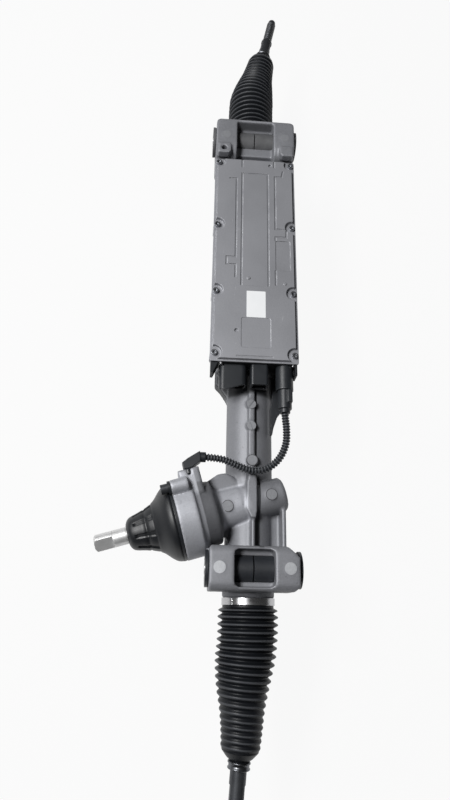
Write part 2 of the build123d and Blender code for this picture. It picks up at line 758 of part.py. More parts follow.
# Rubber boot round the input shaft
boot_outer = [
    (boot_start, 43.8), (95, 42.5), (99, 39.5), (103, 36), (108, 30), (112, 27), (120, 23), (130, 19.8),
    (137, 18.3), (141, 16), (143.8, 12.5), (144, 9.9),
]
boot_inner = [
    (141.6, 9.9), (139, 13), (130, 16.8), (120, 20), (111, 24), (104, 31.5), (98, 37), (boot_start, 39.8),
]
with BuildPart() as sensor_boot:
    turned(pinion_profile, pinion_line, boot_outer + boot_inner)
finish(sensor_boot, "sensor_boot")

# Pinion bearings and their retaining parts
pinion_ball_count = 9
pinion_bearing_start = 23.0
pinion_bearing_length = 11.0


def pinion_ball_place(number):
    angle = number * 2 * math.pi / pinion_ball_count
    middle = pinion_bearing_start + pinion_bearing_length / 2
    point = pinion_centre + pinion_direction * middle + pinion_across * (12.5 * math.cos(angle))
    return (point.X, point.Y, point.Z + 12.5 * math.sin(angle))


with BuildPart() as pinion_bearings:
    round_tube(across_pinion(pinion_bearing_start), pinion_bearing_length, 17.5 - seat_clearance, 14.85)
    round_tube(across_pinion(-32), 13, 10.5 - seat_clearance, needle_shaft_radius + running_clearance)
    round_tube(
        across_pinion(bell_end - 12), 10, hub_bore - seat_clearance,
        input_shaft_radius + running_clearance,
    )
finish(pinion_bearings, "pinion_bearings")

with BuildPart() as pinion_bearing_inner:
    round_tube(
        across_pinion(pinion_bearing_start), pinion_bearing_length, 10.15,
        pinion_shaft_radius + seat_clearance,
    )
    ball_ring(pinion_ball_count, pinion_ball_place, 2.3)
finish(pinion_bearing_inner, "pinion_bearing_inner")

with BuildPart() as bearing_retainers:
    round_tube(
        across_pinion(pinion_bearing_start + pinion_bearing_length + 0.2), 5, 17.5 - seat_clearance, 12,
    )
    round_tube(across_rack(nut_bearing_x - 4.2), 4, chamber_radius - seat_clearance, 26)
finish(bearing_retainers, "bearing_retainers")

with BuildPart() as barrel_cap:
    round_bar(across_pinion(-41.5), 5.5, 12.5 - seat_clearance)
    round_bar(across_pinion(-41.5), 2, 8, Mode.SUBTRACT)
finish(barrel_cap, "barrel_cap")

# Yoke that presses the rack against the pinion, its spring and its adjusting plug
with BuildPart() as yoke:
    round_bar(downwards(pinion_x, yoke_top_z), yoke_top_z - yoke_bottom_z, yoke_radius)
    round_bar(across_rack(pinion_x - 30), 60, rack_radius + running_clearance, Mode.SUBTRACT)
    round_bar(downwards(pinion_x, yoke_bottom_z + 8), 12, 10, Mode.SUBTRACT)
finish(yoke, "yoke")

spring_wire = 1.1
spring_radius = 7.5
spring_turns = 3.0
spring_top_z = yoke_bottom_z + 8 - soft_clearance - spring_wire
spring_bottom_z = yoke_bottom_z - 6 + soft_clearance + spring_wire
with BuildPart() as yoke_spring:
    with BuildLine() as coil:
        Helix((spring_top_z - spring_bottom_z) / spring_turns, spring_top_z - spring_bottom_z, spring_radius,
              center=(pinion_x, 0, spring_bottom_z))
    with BuildSketch(Plane(origin=coil.line @ 0, z_dir=coil.line % 0)):
        Circle(spring_wire)
    sweep(is_frenet=True)
finish(yoke_spring, "yoke_spring")

with BuildPart() as yoke_plug:
    round_bar(downwards(pinion_x, yoke_bottom_z - 6), 16, yoke_radius)
    with BuildSketch(downwards(pinion_x, yoke_bottom_z - 15)) as key:
        RegularPolygon(8, 6)
    extrude(key.sketch, amount=10, mode=Mode.SUBTRACT)
finish(yoke_plug, "yoke_plug")

# Ball nut with its balls, bearing and pulley
pulley_start_x = nut_start_x + 6
ball_circle_radius = screw_root_radius + 0.2 + nut_ball_radius
nut_ball_count = nut_ball_turns * nut_balls_per_turn
nut_ball_start_x = nut_start_x + nut_length / 2 - nut_ball_turns * nut_lead / 2


def nut_ball_place(number):
    turn = number / nut_balls_per_turn
    angle = 2 * math.pi * turn
    return (
        nut_ball_start_x + nut_lead * turn,
        ball_circle_radius * math.cos(angle),
        rack_axis_z + ball_circle_radius * math.sin(angle),
    )


with BuildPart() as ball_nut:
    round_tube(across_rack(nut_start_x), nut_length, nut_radius, rack_radius + soft_clearance)
    recess_length = nut_ball_turns * nut_lead + 2 * nut_ball_radius + 2
    round_bar(across_rack(nut_start_x + nut_length / 2 - recess_length / 2), recess_length,
              ball_circle_radius + nut_ball_radius + 0.1, Mode.SUBTRACT)
finish(ball_nut, "ball_nut")

with BuildPart() as nut_balls:
    ball_ring(nut_ball_count, nut_ball_place, nut_ball_radius)
finish(nut_balls, "nut_balls")

nut_bearing_ball_count = 16


def nut_bearing_ball_place(number):
    angle = number * 2 * math.pi / nut_bearing_ball_count
    return (
        nut_bearing_x + nut_bearing_length / 2,
        27 * math.cos(angle),
        rack_axis_z + 27 * math.sin(angle),
    )


with BuildPart() as nut_bearing_outer:
    round_tube(across_rack(nut_bearing_x), nut_bearing_length, chamber_radius - seat_clearance, 29.2)
finish(nut_bearing_outer, "nut_bearing_outer")

with BuildPart() as nut_bearing_inner:
    round_tube(across_rack(nut_bearing_x), nut_bearing_length, 24.8, nut_radius + seat_clearance)
    ball_ring(nut_bearing_ball_count, nut_bearing_ball_place, 2.15)
finish(nut_bearing_inner, "nut_bearing_inner")


def toothed_pulley(axis_z, belt_line_radius, bore_radius, tooth_count):
    body_radius = belt_line_radius - belt_thickness / 2 - belt_gap
    round_tube(across_rack(pulley_start_x, 0, axis_z), belt_width + 2, body_radius, bore_radius)
    with BuildSketch(across_rack(pulley_start_x, 0, axis_z)) as grooves:
        with PolarLocations(body_radius, tooth_count):
            Circle(0.6)
    extrude(grooves.sketch, amount=belt_width + 2, mode=Mode.SUBTRACT)


with BuildPart() as large_pulley:
    toothed_pulley(rack_axis_z, large_belt_radius, nut_radius + seat_clearance, large_pulley_teeth)
finish(large_pulley, "large_pulley")

with BuildPart() as small_pulley:
    toothed_pulley(motor_axis_z, small_belt_radius, motor_shaft_radius + seat_clearance, small_pulley_teeth)
finish(small_pulley, "small_pulley")

with BuildPart() as drive_belt:
    belt_half = belt_thickness / 2
    hull_bar(
        across_rack(pulley_start_x + 1), belt_width, large_belt_radius + belt_half,
        small_belt_radius + belt_half, motor_drop,
    )
    hull_bar(
        across_rack(pulley_start_x + 1), belt_width, large_belt_radius - belt_half,
        small_belt_radius - belt_half, motor_drop, Mode.SUBTRACT,
    )
finish(drive_belt, "drive_belt")

# Electric motor behind the rack tube
duct_x = flange_x - 58.0
duct_y = -40.5
motor_start_x = flange_x - motor_length
stator_start_x = motor_start_x + 24
stator_length = 84.0
with BuildPart() as motor_housing:
    round_bar(across_rack(motor_start_x, 0, motor_axis_z), motor_length, motor_radius)
    round_bar(across_rack(flange_x - 8), 8, 7.5, spots=motor_screw_spots)
    round_bar(
        across_rack(motor_start_x + motor_wall, 0, motor_axis_z), motor_length, motor_radius - motor_wall,
        Mode.SUBTRACT,
    )
    round_tube(across_rack(motor_start_x, 0, motor_axis_z), 12, 15, 11)
    round_bar(across_rack(flange_x - 12), 14, 2.6, Mode.SUBTRACT, spots=motor_screw_spots)
    box_bar(across_rack(duct_x - 18), 36, 10, 20, Mode.SUBTRACT, spots=((duct_y, -61),))
finish(motor_housing, "motor_housing")

with BuildPart() as motor_stator:
    round_tube(
        across_rack(stator_start_x, 0, motor_axis_z), stator_length,
        motor_radius - motor_wall - seat_clearance, rotor_radius + 0.7,
    )
    with BuildSketch(across_rack(stator_start_x, 0, motor_axis_z)) as slots:
        with PolarLocations(25, 12):
            Rectangle(15, 4)
    extrude(slots.sketch, amount=stator_length, mode=Mode.SUBTRACT)
    for winding_x in (stator_start_x - 8, stator_start_x + stator_length):
        round_tube(across_rack(winding_x, 0, motor_axis_z), 8, 34, 19)
finish(motor_stator, "motor_stator")

with BuildPart() as motor_bearings:
    for bearing_x in (motor_start_x + motor_wall + 1, flange_x - 9):
        round_tube(
            across_rack(bearing_x, 0, motor_axis_z), 7, 11 - seat_clearance,
            motor_shaft_radius + running_clearance,
        )
finish(motor_bearings, "motor_bearings")

shaft_start_x = motor_start_x + motor_wall + 1
with BuildPart() as motor_rotor:
    round_bar(
        across_rack(shaft_start_x, 0, motor_axis_z), pulley_start_x + belt_width + 2 - shaft_start_x,
        motor_shaft_radius,
    )
    round_bar(across_rack(stator_start_x + 1, 0, motor_axis_z), stator_length - 2, rotor_radius)
finish(motor_rotor, "motor_rotor")

# Duct and bars that carry the motor's current up past the tube
with BuildPart() as phase_duct:
    box_bar(facing(-116), tray_bottom_z + 116 - seat_clearance, 44, 15, spots=((duct_x, duct_y),), corner=2)
    box_bar(facing(-117), 120, 38, 9, Mode.SUBTRACT, spots=((duct_x, duct_y),))
    round_bar(across_rack(duct_x - 40, 0, motor_axis_z), 80, motor_radius + seat_clearance, Mode.SUBTRACT)
finish(phase_duct, "phase_duct")

with BuildPart() as phase_bars:
    box_bar(facing(-111), 111 + board_z - 0.1, 6, 2,
            spots=[(duct_x + offset, duct_y) for offset in (-12, 0, 12)])
finish(phase_bars, "phase_bars")

# Control unit: tray, seal, cover, screws and board
tray_outline = [
    (unit_lower_x, 43),
    (unit_lower_x - 13, 49),
    (unit_lower_x - 13, tray_half_width),
    (unit_upper_x, tray_half_width),
    (unit_upper_x, -tray_half_width),
    (unit_lower_x - 13, -tray_half_width),
    (unit_lower_x - 13, -49.6),
    (unit_lower_x, -49.6),
]
cover_screw_spots = [(x, side * cover_screw_y) for x in cover_screw_rows for side in (1, -1)]
pocket_length = unit_upper_x - unit_lower_x - 2 * tray_wall
pocket_width = 2 * (tray_half_width - tray_wall)
unit_middle_x = (unit_lower_x + unit_upper_x) / 2
end_screw_spots = [(39.5, 8.8), (-47.4, 8.8)]
socket_openings = [(power_y, 26.0, 11.0), (signal_y, 16.0, 11.0)]

with BuildPart() as electronics_tray:
    slab(facing(tray_bottom_z), tray_top_z - tray_bottom_z, tray_outline)
    box_bar(
        facing(tray_bottom_z + tray_wall), 40, pocket_length, pocket_width, Mode.SUBTRACT,
        spots=((unit_middle_x, 0),),
    )
    round_bar(facing(tray_bottom_z), tray_top_z - tray_bottom_z, 5.2, spots=cover_screw_spots)
    round_bar(facing(tray_bottom_z), board_z - tray_bottom_z, 4,
              spots=[(x, y) for x in (unit_lower_x + 54, unit_upper_x - 46.5) for y in (34, -34)])
    round_bar(facing(tray_top_z - 12), 14, cover_screw_radius, Mode.SUBTRACT, spots=cover_screw_spots)
    for opening_y, opening_width, opening_height in socket_openings:
        box_bar(
            across_rack(unit_lower_x - 1, 0, connector_z), 6, opening_width, opening_height,
            Mode.SUBTRACT, spots=((opening_y, 0),),
        )
    round_bar(
        across_rack(unit_lower_x - 1, 0, connector_z), 6, 7, Mode.SUBTRACT, spots=((sensor_socket_y, 0),),
    )
    round_bar(facing(tray_bottom_z - 1), 6, 2.6, Mode.SUBTRACT, spots=tray_screw_spots)
    box_bar(facing(tray_bottom_z - 1), 6, 30, 7, Mode.SUBTRACT, spots=((duct_x, duct_y),))
    round_bar(across_rack(unit_lower_x - 1, 0, 0), 6, 1.6, Mode.SUBTRACT, spots=end_screw_spots)
finish(electronics_tray, "electronics_tray")

with BuildPart() as tray_screws:
    round_bar(facing(tray_bottom_z - 14), 14 + tray_wall, 2.0, spots=tray_screw_spots)
    round_bar(facing(tray_bottom_z + tray_wall), 2.5, 3.8, spots=tray_screw_spots)
    round_bar(across_rack(unit_lower_x + 0.1, 0, 0), 2.8, 1.5, spots=end_screw_spots)
    round_bar(across_rack(unit_lower_x - 2, 0, 0), 2, 2.2, spots=end_screw_spots)
finish(tray_screws, "tray_screws")

with BuildPart() as cover_seal:
    box_bar(
        facing(tray_top_z), seal_height, unit_upper_x - unit_lower_x - 0.4, 2 * tray_half_width - 0.4,
        spots=((unit_middle_x, 0),),
    )
    box_bar(
        facing(tray_top_z), seal_height, pocket_length + 2, pocket_width - 12, Mode.SUBTRACT,
        spots=((unit_middle_x, 0),),
    )
    round_bar(facing(tray_top_z), seal_height, 2.4, Mode.SUBTRACT, spots=cover_screw_spots)
finish(cover_seal, "cover_seal")

groove_width = 2.2
groove_depth = 1.0
panel_x = unit_upper_x - 112
panel_length = 173.0
panel_width = 34.3
panel_end = panel_length / 2
groove_lines = [
    [(-panel_end, 17), (panel_end, 17), (panel_end, -17.3), (-panel_end, -17.3)],
    [(-84.5, -26.5), (-62.5, -26.5)],
    [(-18.5, -26.8), (-12.5, -26.8), (-12.5, -41), (-0.5, -41), (-0.5, -26.8), (83.5, -26.8), (83.5, -36),
     (93.5, -38)],
    [(-75.5, 24.5), (-56.5, 24.5), (-56.5, 36), (-45.5, 36), (-45.5, 24.5), (77.5, 24.5), (77.5, 34)],
    [(96.5, 17), (109.5, 17)],
    [(98.5, -26), (108.5, -26)],
]


def relief_line(points):
    with BuildSketch(facing(cover_face_z - groove_depth)) as groove:
        with BuildLine():
            Polyline(*[(panel_x + x, y) for x, y in points])
        trace(line_width=groove_width)
    extrude(groove.sketch, amount=groove_depth + 1, mode=Mode.SUBTRACT)


plateau_inset = 3.0
notch_radius = 8.5
with BuildPart() as electronics_cover:
    box_bar(facing(seal_top_z), cover_flange_height, unit_upper_x - unit_lower_x, 2 * unit_half_width,
            spots=((unit_middle_x, 0),), corner=2)
    with BuildSketch(facing(cover_flange_z)) as plateau:
        with Locations((unit_middle_x, 0)):
            RectangleRounded(unit_upper_x - unit_lower_x - 4, 2 * (unit_half_width - plateau_inset), 4)
        with Locations(*cover_screw_spots):
            Circle(notch_radius, mode=Mode.SUBTRACT)
    extrude(plateau.sketch, amount=cover_face_z - cover_flange_z, taper=12)
    box_bar(
        facing(seal_top_z), cover_face_z - cover_wall - seal_top_z, pocket_length - 6, 2 * 38,
        Mode.SUBTRACT, spots=((unit_middle_x, 0),), corner=3,
    )
    box_bar(
        facing(cover_face_z - 0.3), 3, panel_length, panel_width, Mode.SUBTRACT,
        spots=((panel_x, -0.15),),
    )
    for line in groove_lines:
        relief_line(line)
    box_bar(facing(cover_face_z - 0.8), 3, 44, 19, Mode.SUBTRACT, spots=((panel_x - 40.5, -36),), corner=2)
    box_bar(facing(cover_face_z - 0.4), 3, 40, 36, Mode.SUBTRACT, spots=((273.5, -1.5),), corner=2.5)
    box_bar(facing(cover_face_z - 0.6), 3, 1.6, 44, Mode.SUBTRACT, spots=((242, 0),))
    round_bar(
        facing(cover_face_z - 2), 6, 2.4, Mode.SUBTRACT, spots=((panel_x + 101.5, -20.5), (275.6, 22.4)),
    )
    round_bar(facing(cover_face_z - 0.5), 1.1, 2.0, spots=((panel_x - 75.5, 8), (panel_x - 81.5, -38)))
    round_bar(facing(seal_top_z - 1), 12, 2.3, Mode.SUBTRACT, spots=cover_screw_spots)
finish(electronics_cover, "electronics_cover")

with BuildPart() as cover_screws:
    round_bar(
        facing(tray_top_z - 11), cover_flange_z - tray_top_z + 11, cover_screw_radius - seat_clearance,
        spots=cover_screw_spots,
    )
    round_bar(facing(cover_flange_z), cover_head_height, cover_head_radius, spots=cover_screw_spots)
    with BuildSketch(facing(cover_flange_z + 1.4)) as sockets:
        with Locations(*cover_screw_spots):
            RegularPolygon(1.9, 6)
    extrude(sockets.sketch, amount=6, mode=Mode.SUBTRACT)
finish(cover_screws, "cover_screws")

label_thickness = 0.15
with BuildPart() as blank_label:
    box_bar(facing(cover_face_z + 0.02), label_thickness, 36.5, 23.6, spots=((312.3, -1.5),), corner=0.8)
finish(blank_label, "blank_label")

board_top_z = board_z + board_thickness
with BuildPart() as circuit_board:
    box_bar(facing(board_z), board_thickness, pocket_length - 16.5, 84, spots=((unit_middle_x, 0),), corner=2)
    round_bar(facing(board_top_z), 11, 6, spots=[(unit_lower_x + 64 + 14 * n, 28) for n in range(6)])
    box_bar(facing(board_top_z), 3, 22, 22, spots=((unit_lower_x + 74, -5), (unit_lower_x + 119, -8)))
    box_bar(facing(board_top_z), 4, 10, 12, spots=[(unit_middle_x + 14 + 16 * n, -22) for n in range(3)])
    box_bar(facing(board_top_z), 8, 26, 26, spots=((unit_upper_x - 56.5, 5),), corner=3)
finish(circuit_board, "circuit_board")

# Connectors on the unit's lower end
power_z = -2.5
power_width = 33.0
power_height = 17.0
power_length = 32.0
power_end_x = unit_lower_x - power_length
signal_length = 26.0
with BuildPart() as power_connector:
    with BuildSketch(across_rack(unit_lower_x - power_length, 0, connector_z)) as shell:
        with Locations((power_y, power_z)):
            RectangleRounded(power_width, power_height, 6)
    extrude(shell.sketch, amount=power_length)
    box_bar(across_rack(unit_lower_x, 0, connector_z), 8, 25.4, 9.4, spots=((power_y, 0),))
    box_bar(across_rack(unit_lower_x - power_length, 0, connector_z), power_length - 8, power_width - 4,
            power_height - 4, Mode.SUBTRACT, spots=((power_y, power_z),), corner=4)
    slab(Plane(origin=(0, 60, 0), x_dir=(1, 0, 0), z_dir=(0, -1, 0)), 60,
         [(power_end_x - 2, -12), (power_end_x - 2, 6), (power_end_x + 8, -12)], Mode.SUBTRACT)
    slab(
        facing(-20), 40,
        [(power_end_x - 2, power_y + 13), (power_end_x - 2, power_y - 18), (power_end_x + 8, power_y - 18)],
        Mode.SUBTRACT,
    )
finish(power_connector, "power_connector")

with BuildPart() as signal_connector:
    box_bar(
        across_rack(unit_lower_x - signal_length, 0, connector_z), signal_length, 21, 19,
        spots=((signal_y, 0),), corner=3,
    )
    box_bar(across_rack(unit_lower_x, 0, connector_z), 8, 15.4, 9.4, spots=((signal_y, 0),))
    box_bar(
        across_rack(unit_lower_x - signal_length, 0, connector_z), signal_length - 8, 16, 12,
        Mode.SUBTRACT, spots=((signal_y, 0),), corner=2,
    )
finish(signal_connector, "signal_connector")

with BuildPart() as connector_pins:
    box_bar(
        across_rack(unit_lower_x - 24, 0, connector_z), 15.8, 8, 1.2,
        spots=((power_y - 7, 0), (power_y + 7, 0)),
    )
    box_bar(across_rack(unit_lower_x - 20, 0, connector_z), 11.8, 0.8, 0.8,
            spots=[(signal_y + 3 * n, 2.2 * m) for n in (-2, -1, 0, 1, 2) for m in (-1, 1)])
finish(connector_pins, "connector_pins")

socket_mouth_x = unit_lower_x - sensor_socket_length
guard_z = -27.0
guard_thickness = 9.0
guard_outline = [
    (unit_lower_x - 1, -52), (218, -52), (203, -50), (193, -45.5), (188, -38), (180, -32), (165, -27),
    (157, -25.5), (157, -23.5), (190, -23.5), (unit_lower_x - 1, -30),
]
with BuildPart() as sensor_socket:
    round_bar(across_rack(socket_mouth_x, sensor_socket_y, connector_z), sensor_socket_length, 10.6)
    round_bar(across_rack(unit_lower_x, sensor_socket_y, connector_z), tray_wall, 6.7)
    slab(facing(guard_z), guard_thickness, guard_outline)
    box_bar(across_rack(socket_mouth_x + 10, 0, guard_z + 9), sensor_socket_length - 10.5, 12, 18,
            spots=((sensor_socket_y - 3, 0),))
    round_bar(across_rack(socket_mouth_x, sensor_socket_y, connector_z), 20, 8.6, Mode.SUBTRACT)
finish(sensor_socket, "sensor_socket")

plug_end_x = socket_mouth_x - sensor_plug_length
with BuildPart() as conduit_plug:
    round_bar(across_rack(plug_end_x, sensor_socket_y, connector_z), sensor_plug_length + 18, 8.4)
    box_bar(
        across_rack(plug_end_x + 7, sensor_socket_y, connector_z), sensor_plug_length - 7.2, 6, 20,
        spots=((-5, 0),), corner=1,
    )
    round_bar(across_rack(plug_end_x - 5, sensor_socket_y, connector_z), 6, 6.4)
    round_bar(across_rack(plug_end_x - 6, sensor_socket_y, connector_z), 7, conduit_radius, Mode.SUBTRACT)
finish(conduit_plug, "conduit_plug")

# Elbow plug on the bell's pad
elbow_mouth = (121.0, 54.0, elbow_z)
elbow_outline = [spot(67, 50.03), spot(67, 58), (118, 74.5), (127, 61), (115, 60), spot(57, 50.03)]
with BuildPart() as elbow_plug:
    slab(facing(elbow_z - 6), 12, elbow_outline)
    round_bar(Plane(origin=elbow_mouth, x_dir=(0, 0, 1), z_dir=(0, 1, 0)), 8, 5.8)
    round_bar(Plane(origin=elbow_mouth, x_dir=(0, 0, 1), z_dir=(0, 1, 0)), 5, conduit_radius, Mode.SUBTRACT)
    round_bar(Plane(origin=pad_top + pinion_across, x_dir=(0, 0, 1), z_dir=-pinion_across), 7, 5.0)
finish(elbow_plug, "elbow_plug")

# The conduit's route, chosen by hand along what shows of it
conduit_route = [
    (plug_end_x + 1.0, sensor_socket_y, connector_z),
    (plug_end_x - 8.0, sensor_socket_y, connector_z),
    (160.0, -39.5, 1.5),
    (140.0, -39.0, 2.6),
    (121.0, -30.5, 3.2),
    (108.5, -15.0, 3.8),
    (106.5, 3.0, 4.0),
    (113.0, 20.0, 3.6),
    (121.0, 37.0, elbow_z),
    (121.0, 59.0, elbow_z),
]


def route_radii(points):
    """As large an arc at each corner as its two runs allow."""
    radii = []
    for before, here, after in zip(points, points[1:], points[2:]):
        first = Vector(here) - Vector(before)
        second = Vector(after) - Vector(here)
        half_turn = math.radians(first.get_angle(second)) / 2
        radii.append(0.45 * min(first.length, second.length) / math.tan(half_turn))
    return radii


conduit_radii = route_radii(conduit_route)
print("conduit radii", [round(radius, 1) for radius in conduit_radii])
with BuildPart() as sensor_conduit:
    with BuildLine() as route:
        FilletPolyline(*conduit_route, radius=conduit_radii)
    with BuildSketch(Plane(origin=route.line @ 0, z_dir=route.line % 0)):
        Circle(conduit_radius - seat_clearance)
    sweep()
finish(sensor_conduit, "sensor_conduit")


# Tie rods with their ball joints, worm clamps and bellows at both ends
def rod_direction(end, swing, droop):
    """Unit vector along a tie rod; end is +1 at the motor end and -1 at the pinion end."""
    flat = math.cos(math.radians(droop))
    return Vector(
        end * flat * math.cos(math.radians(swing)),
        -end * flat * math.sin(math.radians(swing)),
        -math.sin(math.radians(droop)),
    )


def rod_frame(ball_x, direction):
    """Profile plane along a tie rod, and the axis to turn it about."""
    ball = Vector(ball_x, 0, rack_axis_z)
    side = direction.cross(Vector(0, 0, 1)).normalized()
    return Plane(origin=ball, x_dir=direction, z_dir=side), Axis(ball, direction)


def end_profile(ball_x, end):
    """Profile plane along the rack line from a ball centre outwards."""
    return Plane(origin=(ball_x, 0, rack_axis_z), x_dir=(end, 0, 0), z_dir=(0, -end, 0))


def ball_socket(ball_x, end):
    turned(
        end_profile(ball_x, end),
        rack_line,
        [
            (-socket_back, 0),
            (-socket_back, socket_radius - 2.5),
            (2.5 - socket_back, socket_radius),
            (socket_mouth - 3, socket_radius),
            (socket_mouth, socket_radius - 3),
            (socket_mouth, 0),
        ],
    )
    with Locations((ball_x, 0, rack_axis_z)):
        Sphere(liner_radius + running_clearance, mode=Mode.SUBTRACT)
    stud_plane = Plane(
        origin=(ball_x - end * socket_back, 0, rack_axis_z), x_dir=(0, 1, 0), z_dir=(end, 0, 0),
    )
    round_bar(stud_plane, stud_length + 0.3, stud_radius + seat_clearance, Mode.SUBTRACT)


def ball_liner(ball_x, frame, axis):
    with Locations((ball_x, 0, rack_axis_z)):
        Sphere(liner_radius)
        Sphere(ball_radius + running_clearance, mode=Mode.SUBTRACT)
    turned(frame, axis, [(7.2, 0), (7.2, 30), (30, 30), (30, 0)], Mode.SUBTRACT)


def tie_rod(ball_x, frame, axis):
    turned(
        frame,
        axis,
        [
            (8, 0),
            (8, rod_neck_radius),
            (26, rod_neck_radius),
            (36, rod_radius),
            (rod_seat_start, rod_radius),
            (rod_seat_start, rod_radius - rod_seat_depth),
            (rod_seat_start + rod_seat_length, rod_radius - rod_seat_depth),
            (rod_seat_start + rod_seat_length, rod_radius),
            (rod_thread_start - 4, rod_radius),
            (rod_thread_start, rod_thread_radius),
            (rod_length - rod_tip_length, rod_thread_radius),
            (rod_length - rod_tip_length + 1.5, rod_thread_radius - 1.2),
            (rod_length - 3, rod_thread_radius - 1.2),
            (rod_length - 0.8, rod_thread_radius - 2.6),
            (rod_length, rod_thread_radius - 4.5),
            (rod_length, 0),
        ],
    )
    with Locations((ball_x, 0, rack_axis_z)):
        Sphere(ball_radius)
    flats = Plane(origin=frame.origin + frame.x_dir * rod_flats_start, x_dir=frame.z_dir, z_dir=frame.x_dir)
    flat_reach = rod_flats_width / 2 + 5
    box_bar(flats, rod_flats_length, 10, 40, Mode.SUBTRACT, spots=((flat_reach, 0), (-flat_reach, 0)))


def small_clamp_ring(frame):
    base = Plane(
        origin=frame.origin + frame.x_dir * (rod_seat_start + 2.5), x_dir=frame.z_dir, z_dir=frame.x_dir,
    )
    round_tube(base, 5, rod_radius + 2.9, rod_radius + 1.8)


def along(table, distance):
    """Value of a table of (distance, value) at a distance, in a straight line between its rows."""
    for (start, first), (end, last) in zip(table, table[1:]):
        if distance <= end:
            return first + (last - first) * (distance - start) / (end - start)
    return table[-1][1]


def valley_at(distance):
    return along(bellows_crests, distance) - along(bellows_depths, distance)


def folds(start, end, count):
    """Zigzag outline of a run of folds, as points (distance, radius)."""
    step = (end - start) / count
    points = []
    for number in range(count):
        low = start + step * number
        high = low + step / 2
        points.append((low, valley_at(low)))
        points.append((high, along(bellows_crests, high)))
    points.append((end, valley_at(end)))
    return points


def solid_of_turn(plane, axis, points, mode=Mode.ADD):
    """Turned solid under an open outline, filled down to the axis."""
    turned(plane, axis, [(points[0][0], 0)] + points + [(points[-1][0], 0)], mode)


def bellows(ball_x, end, cuff_x, first_folds, frame, axis):
    """Shell of even wall: straight along the rack up to the ball's centre, then along the tie rod."""
    mouth = -abs(ball_x - cuff_x)
    cuff_start = mouth - spigot_length + soft_clearance
    cuff_radius = spigot_radius + seat_clearance + bellows_wall
    straight = [(cuff_start, cuff_radius), (mouth - 0.5, cuff_radius)]
    straight += folds(mouth + 2, 0, first_folds)
    leaning = folds(0, bellows_middle_end, bellows_middle_folds)
    leaning += folds(bellows_middle_end, bellows_end, bellows_narrow_folds)[1:]
    neck_radius = rod_radius - rod_seat_depth + soft_clearance + bellows_wall
    leaning += [(rod_seat_start + 1, neck_radius), (rod_seat_start + rod_seat_length - 1, neck_radius)]
    solid_of_turn(end_profile(ball_x, end), rack_line, straight)
    solid_of_turn(frame, axis, leaning)
    with Locations((ball_x, 0, rack_axis_z)):
        Sphere(valley_at(0))
    inner_straight = [(distance, radius - bellows_wall) for distance, radius in straight]
    inner_leaning = [(distance, radius - bellows_wall) for distance, radius in leaning]
    inner_straight[0] = (cuff_start - 1, cuff_radius - bellows_wall)
    inner_leaning[-1] = (rod_seat_start + rod_seat_length, neck_radius - bellows_wall)
    solid_of_turn(end_profile(ball_x, end), rack_line, inner_straight, Mode.SUBTRACT)
    solid_of_turn(frame, axis, inner_leaning, Mode.SUBTRACT)
    with Locations((ball_x, 0, rack_axis_z)):
        Sphere(valley_at(0) - bellows_wall, mode=Mode.SUBTRACT)


with BuildPart() as joint_sockets:
    ball_socket(lower_ball_x, -1)
    ball_socket(upper_ball_x, 1)
finish(joint_sockets, "joint_sockets")

upper_cuff_x = upper_end_x - upper_cuff_shift
for side_name, ball_x, end, cuff_x, first_folds, swing, droop in (
    ("lower", lower_ball_x, -1, lower_end_x, lower_wide_folds, lower_rod_swing, lower_rod_droop),
    ("upper", upper_ball_x, 1, upper_cuff_x, upper_wide_folds, upper_rod_swing, upper_rod_droop),
):
    rod_plane, rod_axis = rod_frame(ball_x, rod_direction(end, swing, droop))

    with BuildPart() as liner:
        ball_liner(ball_x, rod_plane, rod_axis)
    finish(liner, f"{side_name}_ball_liner")

    with BuildPart() as rod:
        tie_rod(ball_x, rod_plane, rod_axis)
    finish(rod, f"{side_name}_tie_rod")

    with BuildPart() as small_clamp:
        small_clamp_ring(rod_plane)
    finish(small_clamp, f"{side_name}_small_clamp")

    with BuildPart() as boot:
        bellows(ball_x, end, cuff_x, first_folds, rod_plane, rod_axis)
    finish(boot, f"{side_name}_bellows")

clamp_width = 7.8
clamp_inset = 3.9
clamp_radius = spigot_radius + seat_clearance + bellows_wall + seat_clearance
with BuildPart() as bellows_clamps:
    for clamp_x in (lower_end_x + clamp_inset, upper_cuff_x - clamp_inset - clamp_width):
        round_tube(across_rack(clamp_x), clamp_width, clamp_radius + 0.9, clamp_radius)
        box_bar(
            across_rack(clamp_x + 1.5), clamp_width - 3, 7, 7,
            spots=((clamp_radius * 0.9, clamp_radius * 0.5),),
        )
        round_bar(across_rack(clamp_x), clamp_width, clamp_radius, Mode.SUBTRACT)
finish(bellows_clamps, "bellows_clamps")
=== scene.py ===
"""Electric power steering rack: finishes, soft parts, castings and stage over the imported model."""

import json
import math
from collections import namedtuple

import bmesh
import bpy
from bpy.props import FloatProperty, FloatVectorProperty, IntProperty, PointerProperty
from mathutils import Matrix, Vector

